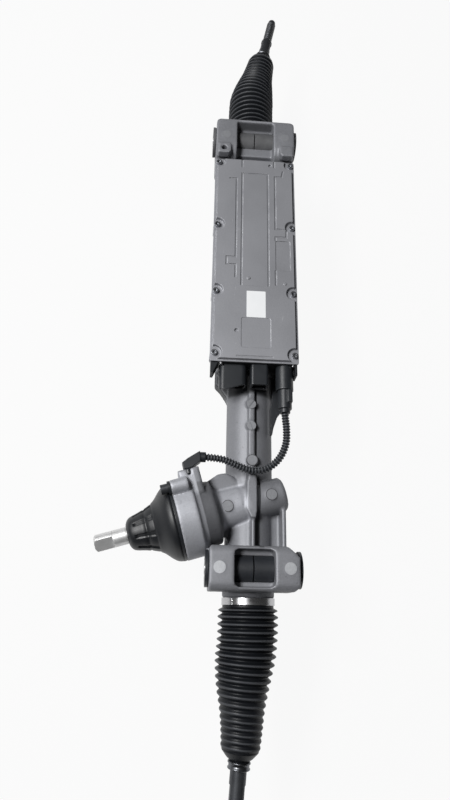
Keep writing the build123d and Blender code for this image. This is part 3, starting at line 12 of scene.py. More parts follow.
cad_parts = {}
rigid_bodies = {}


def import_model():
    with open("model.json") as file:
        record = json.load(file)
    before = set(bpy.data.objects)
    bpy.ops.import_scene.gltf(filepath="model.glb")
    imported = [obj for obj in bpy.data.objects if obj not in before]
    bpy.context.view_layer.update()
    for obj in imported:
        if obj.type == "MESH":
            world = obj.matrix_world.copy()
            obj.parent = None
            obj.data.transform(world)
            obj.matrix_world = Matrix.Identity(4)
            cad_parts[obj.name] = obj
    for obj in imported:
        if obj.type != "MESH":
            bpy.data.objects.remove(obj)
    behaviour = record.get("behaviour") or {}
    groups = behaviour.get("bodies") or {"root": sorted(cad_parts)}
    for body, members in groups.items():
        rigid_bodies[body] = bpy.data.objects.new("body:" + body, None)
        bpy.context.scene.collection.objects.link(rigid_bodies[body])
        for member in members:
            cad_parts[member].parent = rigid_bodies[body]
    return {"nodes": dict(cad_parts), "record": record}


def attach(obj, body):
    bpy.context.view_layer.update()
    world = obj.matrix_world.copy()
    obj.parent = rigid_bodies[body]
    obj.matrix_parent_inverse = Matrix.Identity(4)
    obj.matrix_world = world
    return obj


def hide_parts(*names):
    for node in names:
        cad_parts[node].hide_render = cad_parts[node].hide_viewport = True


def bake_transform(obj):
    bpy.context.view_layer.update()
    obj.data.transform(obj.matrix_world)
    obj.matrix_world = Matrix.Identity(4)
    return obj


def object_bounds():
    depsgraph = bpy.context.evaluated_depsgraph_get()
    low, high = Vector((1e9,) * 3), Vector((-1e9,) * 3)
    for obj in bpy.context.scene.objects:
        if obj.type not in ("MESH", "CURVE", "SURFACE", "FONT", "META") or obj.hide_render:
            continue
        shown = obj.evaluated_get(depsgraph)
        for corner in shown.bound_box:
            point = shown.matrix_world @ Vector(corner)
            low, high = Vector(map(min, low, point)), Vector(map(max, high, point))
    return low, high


bl_info = {
    "name": "Steering rack",
    "version": (1, 0, 0),
    "blender": (4, 5, 0),
    "location": "3D View > Sidebar > Steering rack",
    "description": "Builds the castings, bellows, boot, conduit and finishes of a power steering rack",
    "category": "Object",
}

for leftover in list(bpy.data.objects):
    bpy.data.objects.remove(leftover)

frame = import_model()
cad_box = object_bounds()

MM = 0.001
RACK_Z = -45 * MM
LOWER_BALL = Vector((-88 * MM, 0, RACK_Z))
UPPER_BALL = Vector((700 * MM, 0, RACK_Z))
PINION_TILT = math.radians(16.5)
PINION_CENTRE = Vector((76 * MM, 0, -26 * MM))
PINION_AXIS = Vector((-math.sin(PINION_TILT), math.cos(PINION_TILT), 0))
PINION_ACROSS = Vector((math.cos(PINION_TILT), math.sin(PINION_TILT), 0))


def rod_direction(end, swing, droop):
    """Unit vector along a tie rod; end is +1 at the motor end and -1 at the pinion end."""
    flat = math.cos(math.radians(droop))
    return Vector((
        end * flat * math.cos(math.radians(swing)),
        -end * flat * math.sin(math.radians(swing)),
        -math.sin(math.radians(droop)),
    ))


# Each end of the rack: ball centre, side, tie rod direction and how far the bellows bows sideways
RackEnd = namedtuple("RackEnd", "ball side rod bow")
ENDS = {
    "lower": RackEnd(LOWER_BALL, -1, rod_direction(-1, 4.5, 2.0), 3.0 * MM),
    "upper": RackEnd(UPPER_BALL, 1, rod_direction(1, 10.8, 1.5), 0.0),
}

# The conduit's route from the control unit's plug to the torque sensor's elbow
CONDUIT_ROUTE = [
    (184.0, -38.0, 0.0),
    (175.0, -38.0, 0.0),
    (160.0, -39.5, 1.5),
    (140.0, -39.0, 2.6),
    (121.0, -30.5, 3.2),
    (108.5, -15.0, 3.8),
    (106.5, 3.0, 4.0),
    (113.0, 20.0, 3.6),
    (121.0, 37.0, 2.0),
    (121.0, 59.0, 2.0),
]


# Settings a user may change


def length_setting(title, words, millimetres):
    return FloatProperty(name=title, description=words, default=millimetres * MM, unit="LENGTH")


def count_setting(title, words, value):
    return IntProperty(name=title, description=words, default=value)


def colour_setting(title, words, value):
    return FloatVectorProperty(
        name=title, description=words, subtype="COLOR", size=3, min=0, max=1, default=value
    )


class RackSizes(bpy.types.PropertyGroup):
    """Sizes of the pieces that this file makes."""

    casting_voxel: length_setting("Casting grid", "Grid that rounds the castings' edges", 1.35)
    casting_rounds: count_setting("Casting smoothing", "Smoothing passes on the castings", 5)
    casting_triangles: count_setting("Casting triangles", "Triangles that each is thinned to", 170000)
    moulding_voxel: length_setting("Moulding grid", "Grid that rounds the connectors' edges", 0.5)
    moulding_rounds: count_setting("Moulding smoothing", "Smoothing passes on the connectors", 3)
    moulding_triangles: count_setting("Moulding triangles", "Triangles that each is thinned to", 60000)
    bellows_around: count_setting("Bellows facets", "Facets round each bellows", 88)
    conduit_radius: length_setting("Conduit radius", "Outer radius over the ridges", 4.5)
    conduit_ridge: length_setting("Ridge height", "Height of the conduit's ridges", 1.5)
    conduit_pitch: length_setting("Ridge spacing", "Distance between the conduit's ridges", 3.5)
    boot_slots: count_setting("Boot slots", "Slots round the sensor boot's collar", 9)
    boot_slot_depth: length_setting("Boot slot depth", "Depth of the collar's slots", 1.7)


class RackColours(bpy.types.PropertyGroup):
    """Base colours of the finishes."""

    casting: colour_setting("Casting", "Die-cast aluminium", (0.20, 0.204, 0.22))
    cover: colour_setting("Cover", "Control unit's cover", (0.28, 0.284, 0.304))
    steel: colour_setting("Steel", "Turned steel", (0.62, 0.62, 0.63))
    plated: colour_setting("Plated steel", "Zinc plated parts", (0.66, 0.66, 0.67))
    dark_steel: colour_setting("Dark steel", "Coated tie rods and screws", (0.055, 0.058, 0.064))
    rubber: colour_setting("Rubber", "Bellows and boot", (0.007, 0.008, 0.010))
    plastic: colour_setting("Plastic", "Connectors and conduit", (0.014, 0.016, 0.019))


# Node helpers


class Graph:
    """Adds nodes to a material's or a geometry's tree."""

    def __init__(self, tree):
        self.tree = tree

    def find(self, sockets, key):
        if isinstance(key, int):
            return sockets[key]
        for socket in sockets:
            if socket.identifier == key:
                return socket
        return sockets[key]

    def add(self, kind, settings=None, inputs=None):
        """A node of that type, with its settings made first and then its sockets' values or links."""
        node = self.tree.nodes.new(kind)
        for name, value in (settings or {}).items():
            setattr(node, name, value)
        for key, value in (inputs or {}).items():
            self.feed(self.find(node.inputs, key), value)
        return node

    def feed(self, socket, value):
        if isinstance(value, (Number, Arrow)):
            value = value.socket
        if isinstance(value, bpy.types.NodeSocket):
            self.tree.links.new(value, socket)
        elif value is not None:
            socket.default_value = value

    def number(self, kind, settings=None, inputs=None, output=0):
        node = self.add(kind, settings, inputs)
        return Number(self, self.find(node.outputs, output))

    def arrow(self, kind, settings=None, inputs=None, output=0):
        node = self.add(kind, settings, inputs)
        return Arrow(self, self.find(node.outputs, output))

    def noise(self, place, scale, detail=2.0, roughness=0.5):
        inputs = {"Vector": place, "Scale": scale, "Detail": detail, "Roughness": roughness}
        return self.number("ShaderNodeTexNoise", inputs=inputs)

    def step(self, value, start, end):
        """0 before start, 1 after end, smooth between them."""
        inputs = {"Value": value, "From Min": start, "From Max": end}
        return self.number("ShaderNodeMapRange", {"interpolation_type": "SMOOTHSTEP"}, inputs)

    def mix(self, factor, first, second):
        inputs = {"Factor_Float": factor, "A_Color": first, "B_Color": second}
        node = self.add("ShaderNodeMix", {"data_type": "RGBA"}, inputs)
        return self.find(node.outputs, "Result_Color")

    def curve(self, value, points, low, high, top):
        """Value of a curve through points (place, level), straight between them."""
        share = (value - low) / (high - low)
        node = self.add("ShaderNodeFloatCurve", inputs={"Factor": 1.0, "Value": share})
        scaled = [((place - low) / (high - low), level / top) for place, level in points]
        line = node.mapping.curves[0].points
        for place, level in scaled[1:-1]:
            line.new(place, level)
        for point, location in zip(line, scaled):
            point.location = location
            point.handle_type = "VECTOR"
        node.mapping.update()
        return Number(self, node.outputs[0]) * top


class Number:
    """A socket with a number in it; sums with it add Math nodes."""

    def __init__(self, graph, socket):
        self.graph = graph
        self.socket = socket

    def sum(self, operation, first, second=None):
        return self.graph.number("ShaderNodeMath", {"operation": operation}, {0: first, 1: second})

    def __add__(self, other):
        return self.sum("ADD", self, other)

    def __radd__(self, other):
        return self.sum("ADD", other, self)

    def __sub__(self, other):
        return self.sum("SUBTRACT", self, other)

    def __rsub__(self, other):
        return self.sum("SUBTRACT", other, self)

    def __mul__(self, other):
        return self.sum("MULTIPLY", self, other)

    def __truediv__(self, other):
        return self.sum("DIVIDE", self, other)

    def __pow__(self, other):
        return self.sum("POWER", self, other)

    def cosine(self):
        return self.sum("COSINE", self)

    def root(self):
        return self.sum("SQRT", self)


class Arrow:
    """A socket with a vector in it; sums with it add Vector Math nodes."""

    def __init__(self, graph, socket):
        self.graph = graph
        self.socket = socket

    def sum(self, operation, other=None):
        return self.graph.arrow("ShaderNodeVectorMath", {"operation": operation}, {0: self, 1: other})

    def __add__(self, other):
        return self.sum("ADD", other)

    def __mul__(self, factor):
        return self.graph.arrow("ShaderNodeVectorMath", {"operation": "SCALE"}, {0: self, "Scale": factor})

    def cross(self, other):
        return self.sum("CROSS_PRODUCT", other)

    def unit(self):
        return self.sum("NORMALIZE")

    def dot(self, other):
        settings = {"operation": "DOT_PRODUCT"}
        return self.graph.number("ShaderNodeVectorMath", settings, {0: self, 1: other}, "Value")


class Finish:
    """A material with one Principled shader."""

    def __init__(self, name, roughness, metallic=0.0):
        self.material = bpy.data.materials.new(name)
        self.material.use_nodes = True
        self.graph = Graph(self.material.node_tree)
        self.shader = self.material.node_tree.nodes["Principled BSDF"]
        self.place = self.graph.arrow("ShaderNodeTexCoord", output="Object")
        self.normal = None
        self.set("Roughness", roughness)
        self.set("Metallic", metallic)

    def set(self, name, value):
        self.graph.feed(self.shader.inputs[name], value)

    def colour(self, base, tone):
        """Base colour made lighter or darker by tone, which is 1 where it stays."""
        shade = self.graph.arrow("ShaderNodeVectorMath", {"operation": "SCALE"}, {0: base, "Scale": tone})
        self.set("Base Color", shade)
        return shade

    def round_edges(self, radius):
        """Shades each edge as if it was rounded to that radius."""
        self.normal = self.graph.arrow("ShaderNodeBevel", {"samples": 6}, {"Radius": radius})
        self.set("Normal", self.normal)

    def sharp_edges(self):
        """1 along edges, where the rounded shading differs from the flat face."""
        flat = self.graph.arrow("ShaderNodeNewGeometry", output="True Normal")
        return self.graph.step(1 - self.normal.dot(flat), 0.015, 0.16)

    def bump(self, height, distance, strength=1.0):
        inputs = {"Height": height, "Distance": distance, "Strength": strength, "Normal": self.normal}
        self.set("Normal", self.graph.arrow("ShaderNodeBump", inputs=inputs))

    def edge_wear(self, start, end):
        """1 on the outer edges of a closely divided mesh."""
        sharpness = self.graph.number("ShaderNodeNewGeometry", output="Pointiness")
        return self.graph.step(sharpness, start, end)


# Finishes

# Near black of the painted shade on the tray's end round the connectors
TRAY_END_SHADE_COLOUR = (0.014, 0.016, 0.019, 1)
# Colour of the painted shade in the castings' gaps
PAINTED_SHADE_COLOUR = (0.012, 0.013, 0.015, 1)
# Colour of the dust and painted highlight on the crests of folds
DUST_AND_HIGHLIGHT_COLOUR = (0.10, 0.105, 0.115, 1)
BUSH_DUST_COLOUR = (0.115, 0.115, 0.118, 1)
SCUFF_COLOUR = (0.62, 0.63, 0.65, 1)
RUBBED_COLOUR = (0.68, 0.69, 0.71, 1)
TRAY_SHADE_END = 238.5 * MM

# Bands of painted shade on the castings, in millimetres: start, end and over how much it fades
NECK_GAP_ACROSS = (-6.4, -4.6, 0.7)
NECK_GAP_ALONG = (114, 206, 6)
BARREL_GAP_ACROSS = (-9.6, -5.2, 0.9)
BARREL_GAP_ALONG = (24, 102, 6)
CONNECTOR_ROOT_ALONG = (210, 240, 6)

# Bands of painted light on the barrel and bell and of painted shade on the bell's back, along the pinion's
# axis,
# in millimetres: start, end and fade, then the radii between which each band fades out
BELL_BANDS = [
    ((8, 38, 8), (22, 25)),
    ((40, 56, 2), (46, 48)),
    ((58, 92, 2), (57, 60)),
]


def between(graph, value, start, end, soft):
    """1 from start to end, fading to 0 over soft on both sides."""
    return graph.step(value, start - soft, start) * (1 - graph.step(value, end, end + soft))


def painted_gap_shade(graph, place):
    """1 where shade is painted, beside the middle rib and round the root of the connectors."""
    parts = graph.add("ShaderNodeSeparateXYZ", inputs={0: place})
    along, across, height = [Number(graph, socket) / MM for socket in parts.outputs]
    beside_neck = between(graph, across, *NECK_GAP_ACROSS) * between(graph, along, *NECK_GAP_ALONG)
    beside_barrel = between(graph, across, *BARREL_GAP_ACROSS) * between(graph, along, *BARREL_GAP_ALONG)
    root = between(graph, along, *CONNECTOR_ROOT_ALONG) * graph.step(height, -60, -52)
    return (beside_neck + beside_barrel) * graph.step(height, -34, -26) + root


def painted_bell_light_and_shade(graph, place):
    """Painted light on the bell and barrel, lighter than the neck; painted shade on the bell's back."""
    from_centre = place + tuple(-PINION_CENTRE)
    along = from_centre.dot(tuple(PINION_AXIS)) / MM
    across = from_centre.dot(tuple(PINION_ACROSS)) / MM
    height = from_centre.dot((0, 0, 1)) / MM
    radius = (across * across + height * height).root()
    barrel, back, bell = [
        between(graph, along, *band) * (1 - graph.step(radius, *fade)) for band, fade in BELL_BANDS
    ]
    return barrel * 0.85 + bell * 0.8 - back * 0.45


def cast_finish(name, colour, roughness, wear_and_painted_shading):
    """Die-cast aluminium: fine grain, cloudy patches, edges rubbed bright, painted shade in its gaps."""
    finish = Finish(name, roughness, 0.3)
    graph = finish.graph
    clouds = graph.noise(finish.place, 22, 3)
    grain = graph.noise(finish.place, 620, 3, 0.6)
    pits = graph.step(graph.noise(finish.place, 260, 2), 0.66, 0.74)
    tone = 1 + (clouds - 0.5) * 0.34 + (grain - 0.5) * 0.42 - pits * 0.18
    if wear_and_painted_shading:
        # Painted light and shade: the barrel and bell are lightened and the bell's back is darkened in the
        # colour
        shade = finish.colour(colour, tone * (1 + painted_bell_light_and_shade(graph, finish.place)))
        bright = [min(1, part * 1.75) for part in colour] + [1]
        worn = graph.mix(finish.edge_wear(0.52, 0.60) * (0.35 + clouds * 0.6), shade, bright)
        # Painted shade: the gaps beside the middle rib and round the connectors' root are darkened in the
        # colour
        gap_shade_mask = painted_gap_shade(graph, finish.place) * 0.85
        finish.set("Base Color", graph.mix(gap_shade_mask, worn, PAINTED_SHADE_COLOUR))
    else:
        finish.colour(colour, tone)
    finish.set("Roughness", roughness + (clouds - 0.5) * 0.22 + (grain - 0.5) * 0.1)
    finish.bump(grain - pits * 0.5, 0.22 * MM, 0.55)
    return finish.material


def cover_finish(name, colour, black_end=None):
    """Fine cast cover with a satin skin, scuffs and rubbed edges; painted black shade up to black_end along
    the rack.
    """
    finish = Finish(name, 0.5, 0.4)
    graph = finish.graph
    finish.round_edges(1.0 * MM)
    clouds = graph.noise(finish.place, 14, 3)
    grain = graph.noise(finish.place, 900, 3, 0.6)
    inputs = {"Vector": finish.place, "Rotation": (0, 0, 0.6), "Scale": (40, 400, 40)}
    stretch = graph.arrow("ShaderNodeMapping", inputs=inputs)
    scuffs = graph.step(graph.noise(stretch, 1.0, 3, 0.6), 0.70, 0.76)
    tone = 1 + (clouds - 0.5) * 0.22 + (grain - 0.5) * 0.36
    shade = finish.colour(colour, tone)
    worn = graph.mix(scuffs * 0.45, shade, SCUFF_COLOUR)
    rubbed = finish.sharp_edges() * graph.step(graph.noise(finish.place, 90, 3), 0.42, 0.62)
    skin = graph.mix(rubbed * 0.6, worn, RUBBED_COLOUR)
    if black_end is not None:
        # Painted shade: the tray's end below the cover, round the connectors, is darkened to black
        shaded_end = 1 - graph.step(finish.place.dot((1, 0, 0)), black_end - 0.5 * MM, black_end)
        skin = graph.mix(shaded_end, skin, TRAY_END_SHADE_COLOUR)
    finish.set("Base Color", skin)
    finish.set("Roughness", 0.5 + (clouds - 0.5) * 0.2 - scuffs * 0.1)
    finish.bump(grain, 0.16 * MM, 0.5)
    return finish.material


def turned_finish(name, colour, axis, roughness=0.3, metallic=1.0):
    """Turned steel with fine rings round its axis."""
    finish = Finish(name, roughness, metallic)
    graph = finish.graph
    finish.round_edges(0.5 * MM)
    along = finish.place.dot(axis)
    line = graph.arrow("ShaderNodeCombineXYZ", inputs={"X": along})
    rings = graph.noise(line, 2600, 3)
    marks = graph.noise(finish.place, 120, 3)
    finish.colour(colour, 1 + (rings - 0.5) * 0.3 + (marks - 0.5) * 0.16)
    finish.set("Roughness", roughness + (marks - 0.5) * 0.25)
    finish.bump(rings, 0.05 * MM, 0.5)
    return finish.material


def plated_finish(name, colour, roughness=0.34):
    """Zinc plated steel, slightly cloudy."""
    finish = Finish(name, roughness, 1.0)
    graph = finish.graph
    finish.round_edges(0.4 * MM)
    clouds = graph.noise(finish.place, 150, 3)
    grain = graph.noise(finish.place, 1500, 2)
    finish.colour(colour, 1 + (clouds - 0.5) * 0.3)
    finish.set("Roughness", roughness + (clouds - 0.5) * 0.24)
    finish.bump(grain, 0.04 * MM, 0.4)
    return finish.material


THREAD_PITCH = 1.5 * MM


def coated_steel_finish(name, colour, thread=None):
    """Black coated steel; thread is the direction along a thread and its start and end along it."""
    finish = Finish(name, 0.42, 0.6)
    graph = finish.graph
    finish.round_edges(0.5 * MM)
    clouds = graph.noise(finish.place, 60, 3)
    grain = graph.noise(finish.place, 900, 3)
    finish.colour(colour, 1 + (clouds - 0.5) * 0.5 + (grain - 0.5) * 0.5)
    finish.set("Roughness", 0.42 + (clouds - 0.5) * 0.25)
    height = grain * 0.1
    distance = 0.15 * MM
    if thread:
        direction, start, end = thread
        along = finish.place.dot(direction)
        runout = THREAD_PITCH / 3
        inside = graph.step(along, start, start + runout) * (1 - graph.step(along, end - runout, end))
        turns = (along * (2 * math.pi / THREAD_PITCH)).cosine()
        height = height + (turns * 0.5 + 0.5) * inside
        distance = 0.7 * MM
    finish.bump(height, distance, 0.8)
    return finish.material


def rubber_finish(name, colour, roughness=0.5, crest_dust_and_highlight=0.0, shine=0.5):
    """Moulded rubber with fine texture; dust and a painted highlight show on the crests of folds."""
    finish = Finish(name, roughness)
    graph = finish.graph
    clouds = graph.noise(finish.place, 35, 4)
    grain = graph.noise(finish.place, 1100, 3, 0.6)
    shade = finish.colour(colour, 1 + (clouds - 0.5) * 0.5 + (grain - 0.5) * 0.3)
    finish.set("Roughness", roughness + (clouds - 0.5) * 0.2)
    if crest_dust_and_highlight:
        # Crests: dust mixed with a painted highlight, lighter along the top of each fold
        crest = graph.number("ShaderNodeAttribute", {"attribute_name": "crest"}, output="Fac")
        dust_and_highlight = graph.step(crest, 0.7, 1.0) * (0.75 + clouds * 0.4) * crest_dust_and_highlight
        finish.set("Base Color", graph.mix(dust_and_highlight, shade, DUST_AND_HIGHLIGHT_COLOUR))
    finish.set("Specular IOR Level", shine)
    finish.bump(grain, 0.1 * MM, 0.5)
    return finish.material


def bush_finish(name, colour):
    """Bush rubber, clean at the pinion end and dusty at the motor end."""
    finish = Finish(name, 0.5)
    graph = finish.graph
    clouds = graph.noise(finish.place, 90, 4, 0.65)
    grain = graph.noise(finish.place, 800, 3)
    dusty = graph.step(finish.place.dot((1, 0, 0)), 0.3, 0.5) * (0.35 + clouds)
    shade = finish.colour(colour, 1 + (clouds - 0.5) * 0.6)
    finish.set("Base Color", graph.mix(dusty * 0.75, shade, BUSH_DUST_COLOUR))
    finish.set("Roughness", 0.45 + dusty * 0.25)
    finish.bump(grain + clouds, 0.25 * MM, 0.6)
    return finish.material


def plastic_finish(name, colour, roughness=0.42):
    """Moulded plastic with a spark-eroded grain."""
    finish = Finish(name, roughness)
    graph = finish.graph
    finish.round_edges(0.6 * MM)
    clouds = graph.noise(finish.place, 45, 3)
    grain = graph.noise(finish.place, 1600, 2, 0.6)
    finish.colour(colour, 1 + (clouds - 0.5) * 0.4 + (grain - 0.5) * 0.25)
    finish.set("Roughness", roughness + (clouds - 0.5) * 0.18)
    finish.bump(grain, 0.07 * MM, 0.5)
    return finish.material


def label_finish(name):
    """Plain satin film with a paper-fine grain."""
    finish = Finish(name, 0.5)
    grain = finish.graph.noise(finish.place, 700, 2)
    clouds = finish.graph.noise(finish.place, 60, 2)
    finish.colour((0.72, 0.73, 0.74), 1 + (clouds - 0.5) * 0.08)
    finish.bump(grain, 0.02 * MM, 0.5)
    return finish.material


def make_finishes(colours):
    """Every finish by name, made once."""
    casting = tuple(colours.casting)
    plastic = tuple(colours.plastic)
    steel = tuple(colours.steel)
    return {
        "casting": cast_finish("Casting", casting, 0.54, True),
        "plain_casting": cast_finish("Casting, plain", casting, 0.48, False),
        "cover": cover_finish("Cover", tuple(colours.cover)),
        "tray": cover_finish("Tray", tuple(colours.cover), TRAY_SHADE_END),
        "spot": cast_finish("Ejector spot", (0.44, 0.45, 0.47), 0.42, False),
        "mark": cast_finish("Ejector mark, low", (0.235, 0.24, 0.255), 0.48, False),
        "steel": turned_finish("Turned steel, rack", steel, (1, 0, 0)),
        "shaft": turned_finish("Turned steel, shaft", (0.66, 0.66, 0.66), tuple(PINION_AXIS), 0.42, 0.65),
        "plated": plated_finish("Zinc plated steel", tuple(colours.plated)),
        "band": plated_finish("Band steel", (0.50, 0.50, 0.51), 0.3),
        "screw": plated_finish("Dull plated screws", (0.32, 0.33, 0.35), 0.36),
        "coated": coated_steel_finish("Coated screws", tuple(colours.dark_steel)),
        "rubber": rubber_finish("Rubber, boot", tuple(colours.rubber), 0.44),
        "bellows": rubber_finish("Rubber, bellows", tuple(colours.rubber), 0.42, 0.5, 0.2),
        "mark_shade": cast_finish("Painted shade round a mark", (0.05, 0.05, 0.055), 0.7, False),
        "bush": bush_finish("Rubber, bushes", (0.018, 0.020, 0.024)),
        "crimp": plated_finish("Crimp rings", (0.13, 0.135, 0.145), 0.35),
        "plastic": plastic_finish("Black plastic", plastic),
        "conduit": rubber_finish("Conduit plastic", plastic, 0.4, 0.7, 0.4),
        "guide": plastic_finish("Guide plastic", (0.62, 0.60, 0.53), 0.45),
        "belt": rubber_finish("Belt rubber", (0.03, 0.03, 0.03), 0.6),
        "copper": plated_finish("Copper", (0.72, 0.42, 0.28)),
        "magnet": cast_finish("Sintered iron", (0.10, 0.10, 0.11), 0.6, False),
        "board": plastic_finish("Solder mask", (0.02, 0.12, 0.06), 0.35),
        "label": label_finish("Label film"),
    }


SLOT_FINISH = {
    "cast_housing": "plain_casting",
    "cover_metal": "cover",
    "machined_steel": "steel",
    "zinc_steel": "plated",
    "dark_screw": "coated",
    "cover_screw": "screw",
    "black_rubber": "rubber",
    "bush_rubber": "bush",
    "black_plastic": "plastic",
    "guide_plastic": "guide",
    "belt_rubber": "belt",
    "copper": "copper",
    "magnet": "magnet",
    "board": "board",
    "label": "label",
}
finishes = {}


# Mesh helpers


def new_object(name, data):
    made = bpy.data.objects.new(name, data)
    bpy.context.scene.collection.objects.link(made)
    return made


def plain_mesh(source, name):
    """The object's evaluated shape as a new object with a plain mesh."""
    bpy.context.view_layer.update()
    graph = bpy.context.evaluated_depsgraph_get()
    mesh = bpy.data.meshes.new_from_object(source.evaluated_get(graph), depsgraph=graph)
    mesh.name = name
    return new_object(name, mesh)


def set_material(mesh, material):
    mesh.materials.clear()
    mesh.materials.append(material)


def tidy_normals(mesh):
    form = bmesh.new()
    form.from_mesh(mesh)
    bmesh.ops.recalc_face_normals(form, faces=form.faces)
    form.to_mesh(mesh)
    form.free()


def shade_smooth(mesh, smooth=True):
    mesh.polygons.foreach_set("use_smooth", [smooth] * len(mesh.polygons))


def turned_shell(name, origin, axis, across, profile, facets, change=None):
    """Closed ring turned from a loop of (distance, radius).

    change(distance, radius, angle) may give another radius.
    """
    other = axis.cross(across)
    points = []
    for distance, radius in profile:
        for number in range(facets):
            angle = 2 * math.pi * number / facets
            reach = change(distance, radius, angle) if change else radius
            outward = across * math.cos(angle) + other * math.sin(angle)
            points.append(origin + axis * distance + outward * reach)
    faces = []
    rows = len(profile)
    for row in range(rows):
        following = (row + 1) % rows
        for number in range(facets):
            beside = (number + 1) % facets
            faces.append((
                row * facets + number,
                row * facets + beside,
                following * facets + beside,
                following * facets + number,
            ))
    mesh = bpy.data.meshes.new(name)
    mesh.from_pydata(points, [], faces)
    tidy_normals(mesh)
    shade_smooth(mesh)
    return new_object(name, mesh)


def geometry_tree(name, **inputs):
    """Empty geometry tree with inputs named by kind, its helper, its input node and their identifiers."""
    tree = bpy.data.node_groups.new(name, "GeometryNodeTree")
    identifiers = {}
    tree.interface.new_socket(name="Geometry", in_out="INPUT", socket_type="NodeSocketGeometry")
    for kind, titles in inputs.items():
        for title in titles:
            socket = tree.interface.new_socket(name=title, in_out="INPUT", socket_type="NodeSocket" + kind)
            identifiers[title] = socket.identifier
    tree.interface.new_socket(name="Geometry", in_out="OUTPUT", socket_type="NodeSocketGeometry")
    start = tree.nodes.new("NodeGroupInput")
    return tree, Graph(tree), start, identifiers


def given(graph, start, title):
    """Number that a geometry tree gets under that title."""
    return Number(graph, graph.find(start.outputs, title))


def close_tree(graph, shape, material_socket):
    """Ends a geometry tree in Realize Instances, smooth shading and Set Material."""
    real = graph.add("GeometryNodeRealizeInstances", inputs={"Geometry": shape})
    smooth = graph.add("GeometryNodeSetShadeSmooth", inputs={"Geometry": real.outputs[0]})
    inputs = {"Geometry": smooth.outputs[0], "Material": material_socket}
    coated = graph.add("GeometryNodeSetMaterial", inputs=inputs)
    end = graph.tree.nodes.new("NodeGroupOutput")
    graph.feed(end.inputs[0], coated.outputs[0])


def grown(name, tree, identifiers, values, carrier=None):
    """Runs a geometry tree with those values and gives the result as an object with a plain mesh."""
    if carrier is None:
        carrier = new_object(name + " source", bpy.data.meshes.new(name + " source"))
    modifier = carrier.modifiers.new("Shape", "NODES")
    modifier.node_group = tree
    for title, value in values.items():
        modifier[identifiers[title]] = value
    made = plain_mesh(carrier, name)
    bpy.data.objects.remove(carrier)
    return made


# Bellows: one tree makes a section of rubber folds along the rack line and on along the tie rod

FOLD_NECK = [(97.5, 14.2), (100.0, 10.7), (108.4, 10.2), (109.0, 8.3)]
FOLD_VALLEYS = [
    (-47.0, 28.8), (2.0, 28.6), (20.0, 27.0), (36.0, 25.2), (52.0, 22.9), (70.0, 21.2), (91.5, 19.6),
] + FOLD_NECK
FOLD_DEPTHS = [
    (2.0, 5.0), (20.0, 4.1), (36.0, 2.9), (52.0, 1.9), (70.0, 1.5), (90.5, 1.2), (91.5, 0.0), (109.0, 0.0),
]
FOLD_COUNTS_AT = (-0.6, 46.7, 61.6, 90.3, 109.0)
FOLD_END = 109.0
SEAT_START = 43.0
SEAT_END = 54.0
BEND_WIDTH = 14 * MM
CUFF_BLEND = -54
ROD_BLEND = 70
RINGS_PER_MM = 1.9


def fold_rule(start, first_depth, counts):
    """Valleys' radii, folds' depths and count of folds along a bellows, from its cuff's end on."""
    cuff, crest, full = start + 10.1, start + 11.1, start + 16.2
    return {
        "start": start,
        "valleys": [(start, 27.05), (start + 0.5, 28.6), (start + 1.1, 28.86)] + FOLD_VALLEYS,
        "depths": [(start, 0.0), (cuff, 0.0), (crest, 4.0), (full, first_depth)] + FOLD_DEPTHS,
        "counts": [(start, -2.0), (cuff, -1.0), (full, 0.0), *zip(FOLD_COUNTS_AT, counts)],
    }


FOLD_RULES = {
    "lower": fold_rule(-59.7, 5.2, (5.5, 11.5, 13.5, 18.0, 21.0)),
    "upper": fold_rule(-70.7, 5.0, (6.5, 12.5, 14.5, 18.0, 21.0)),
}


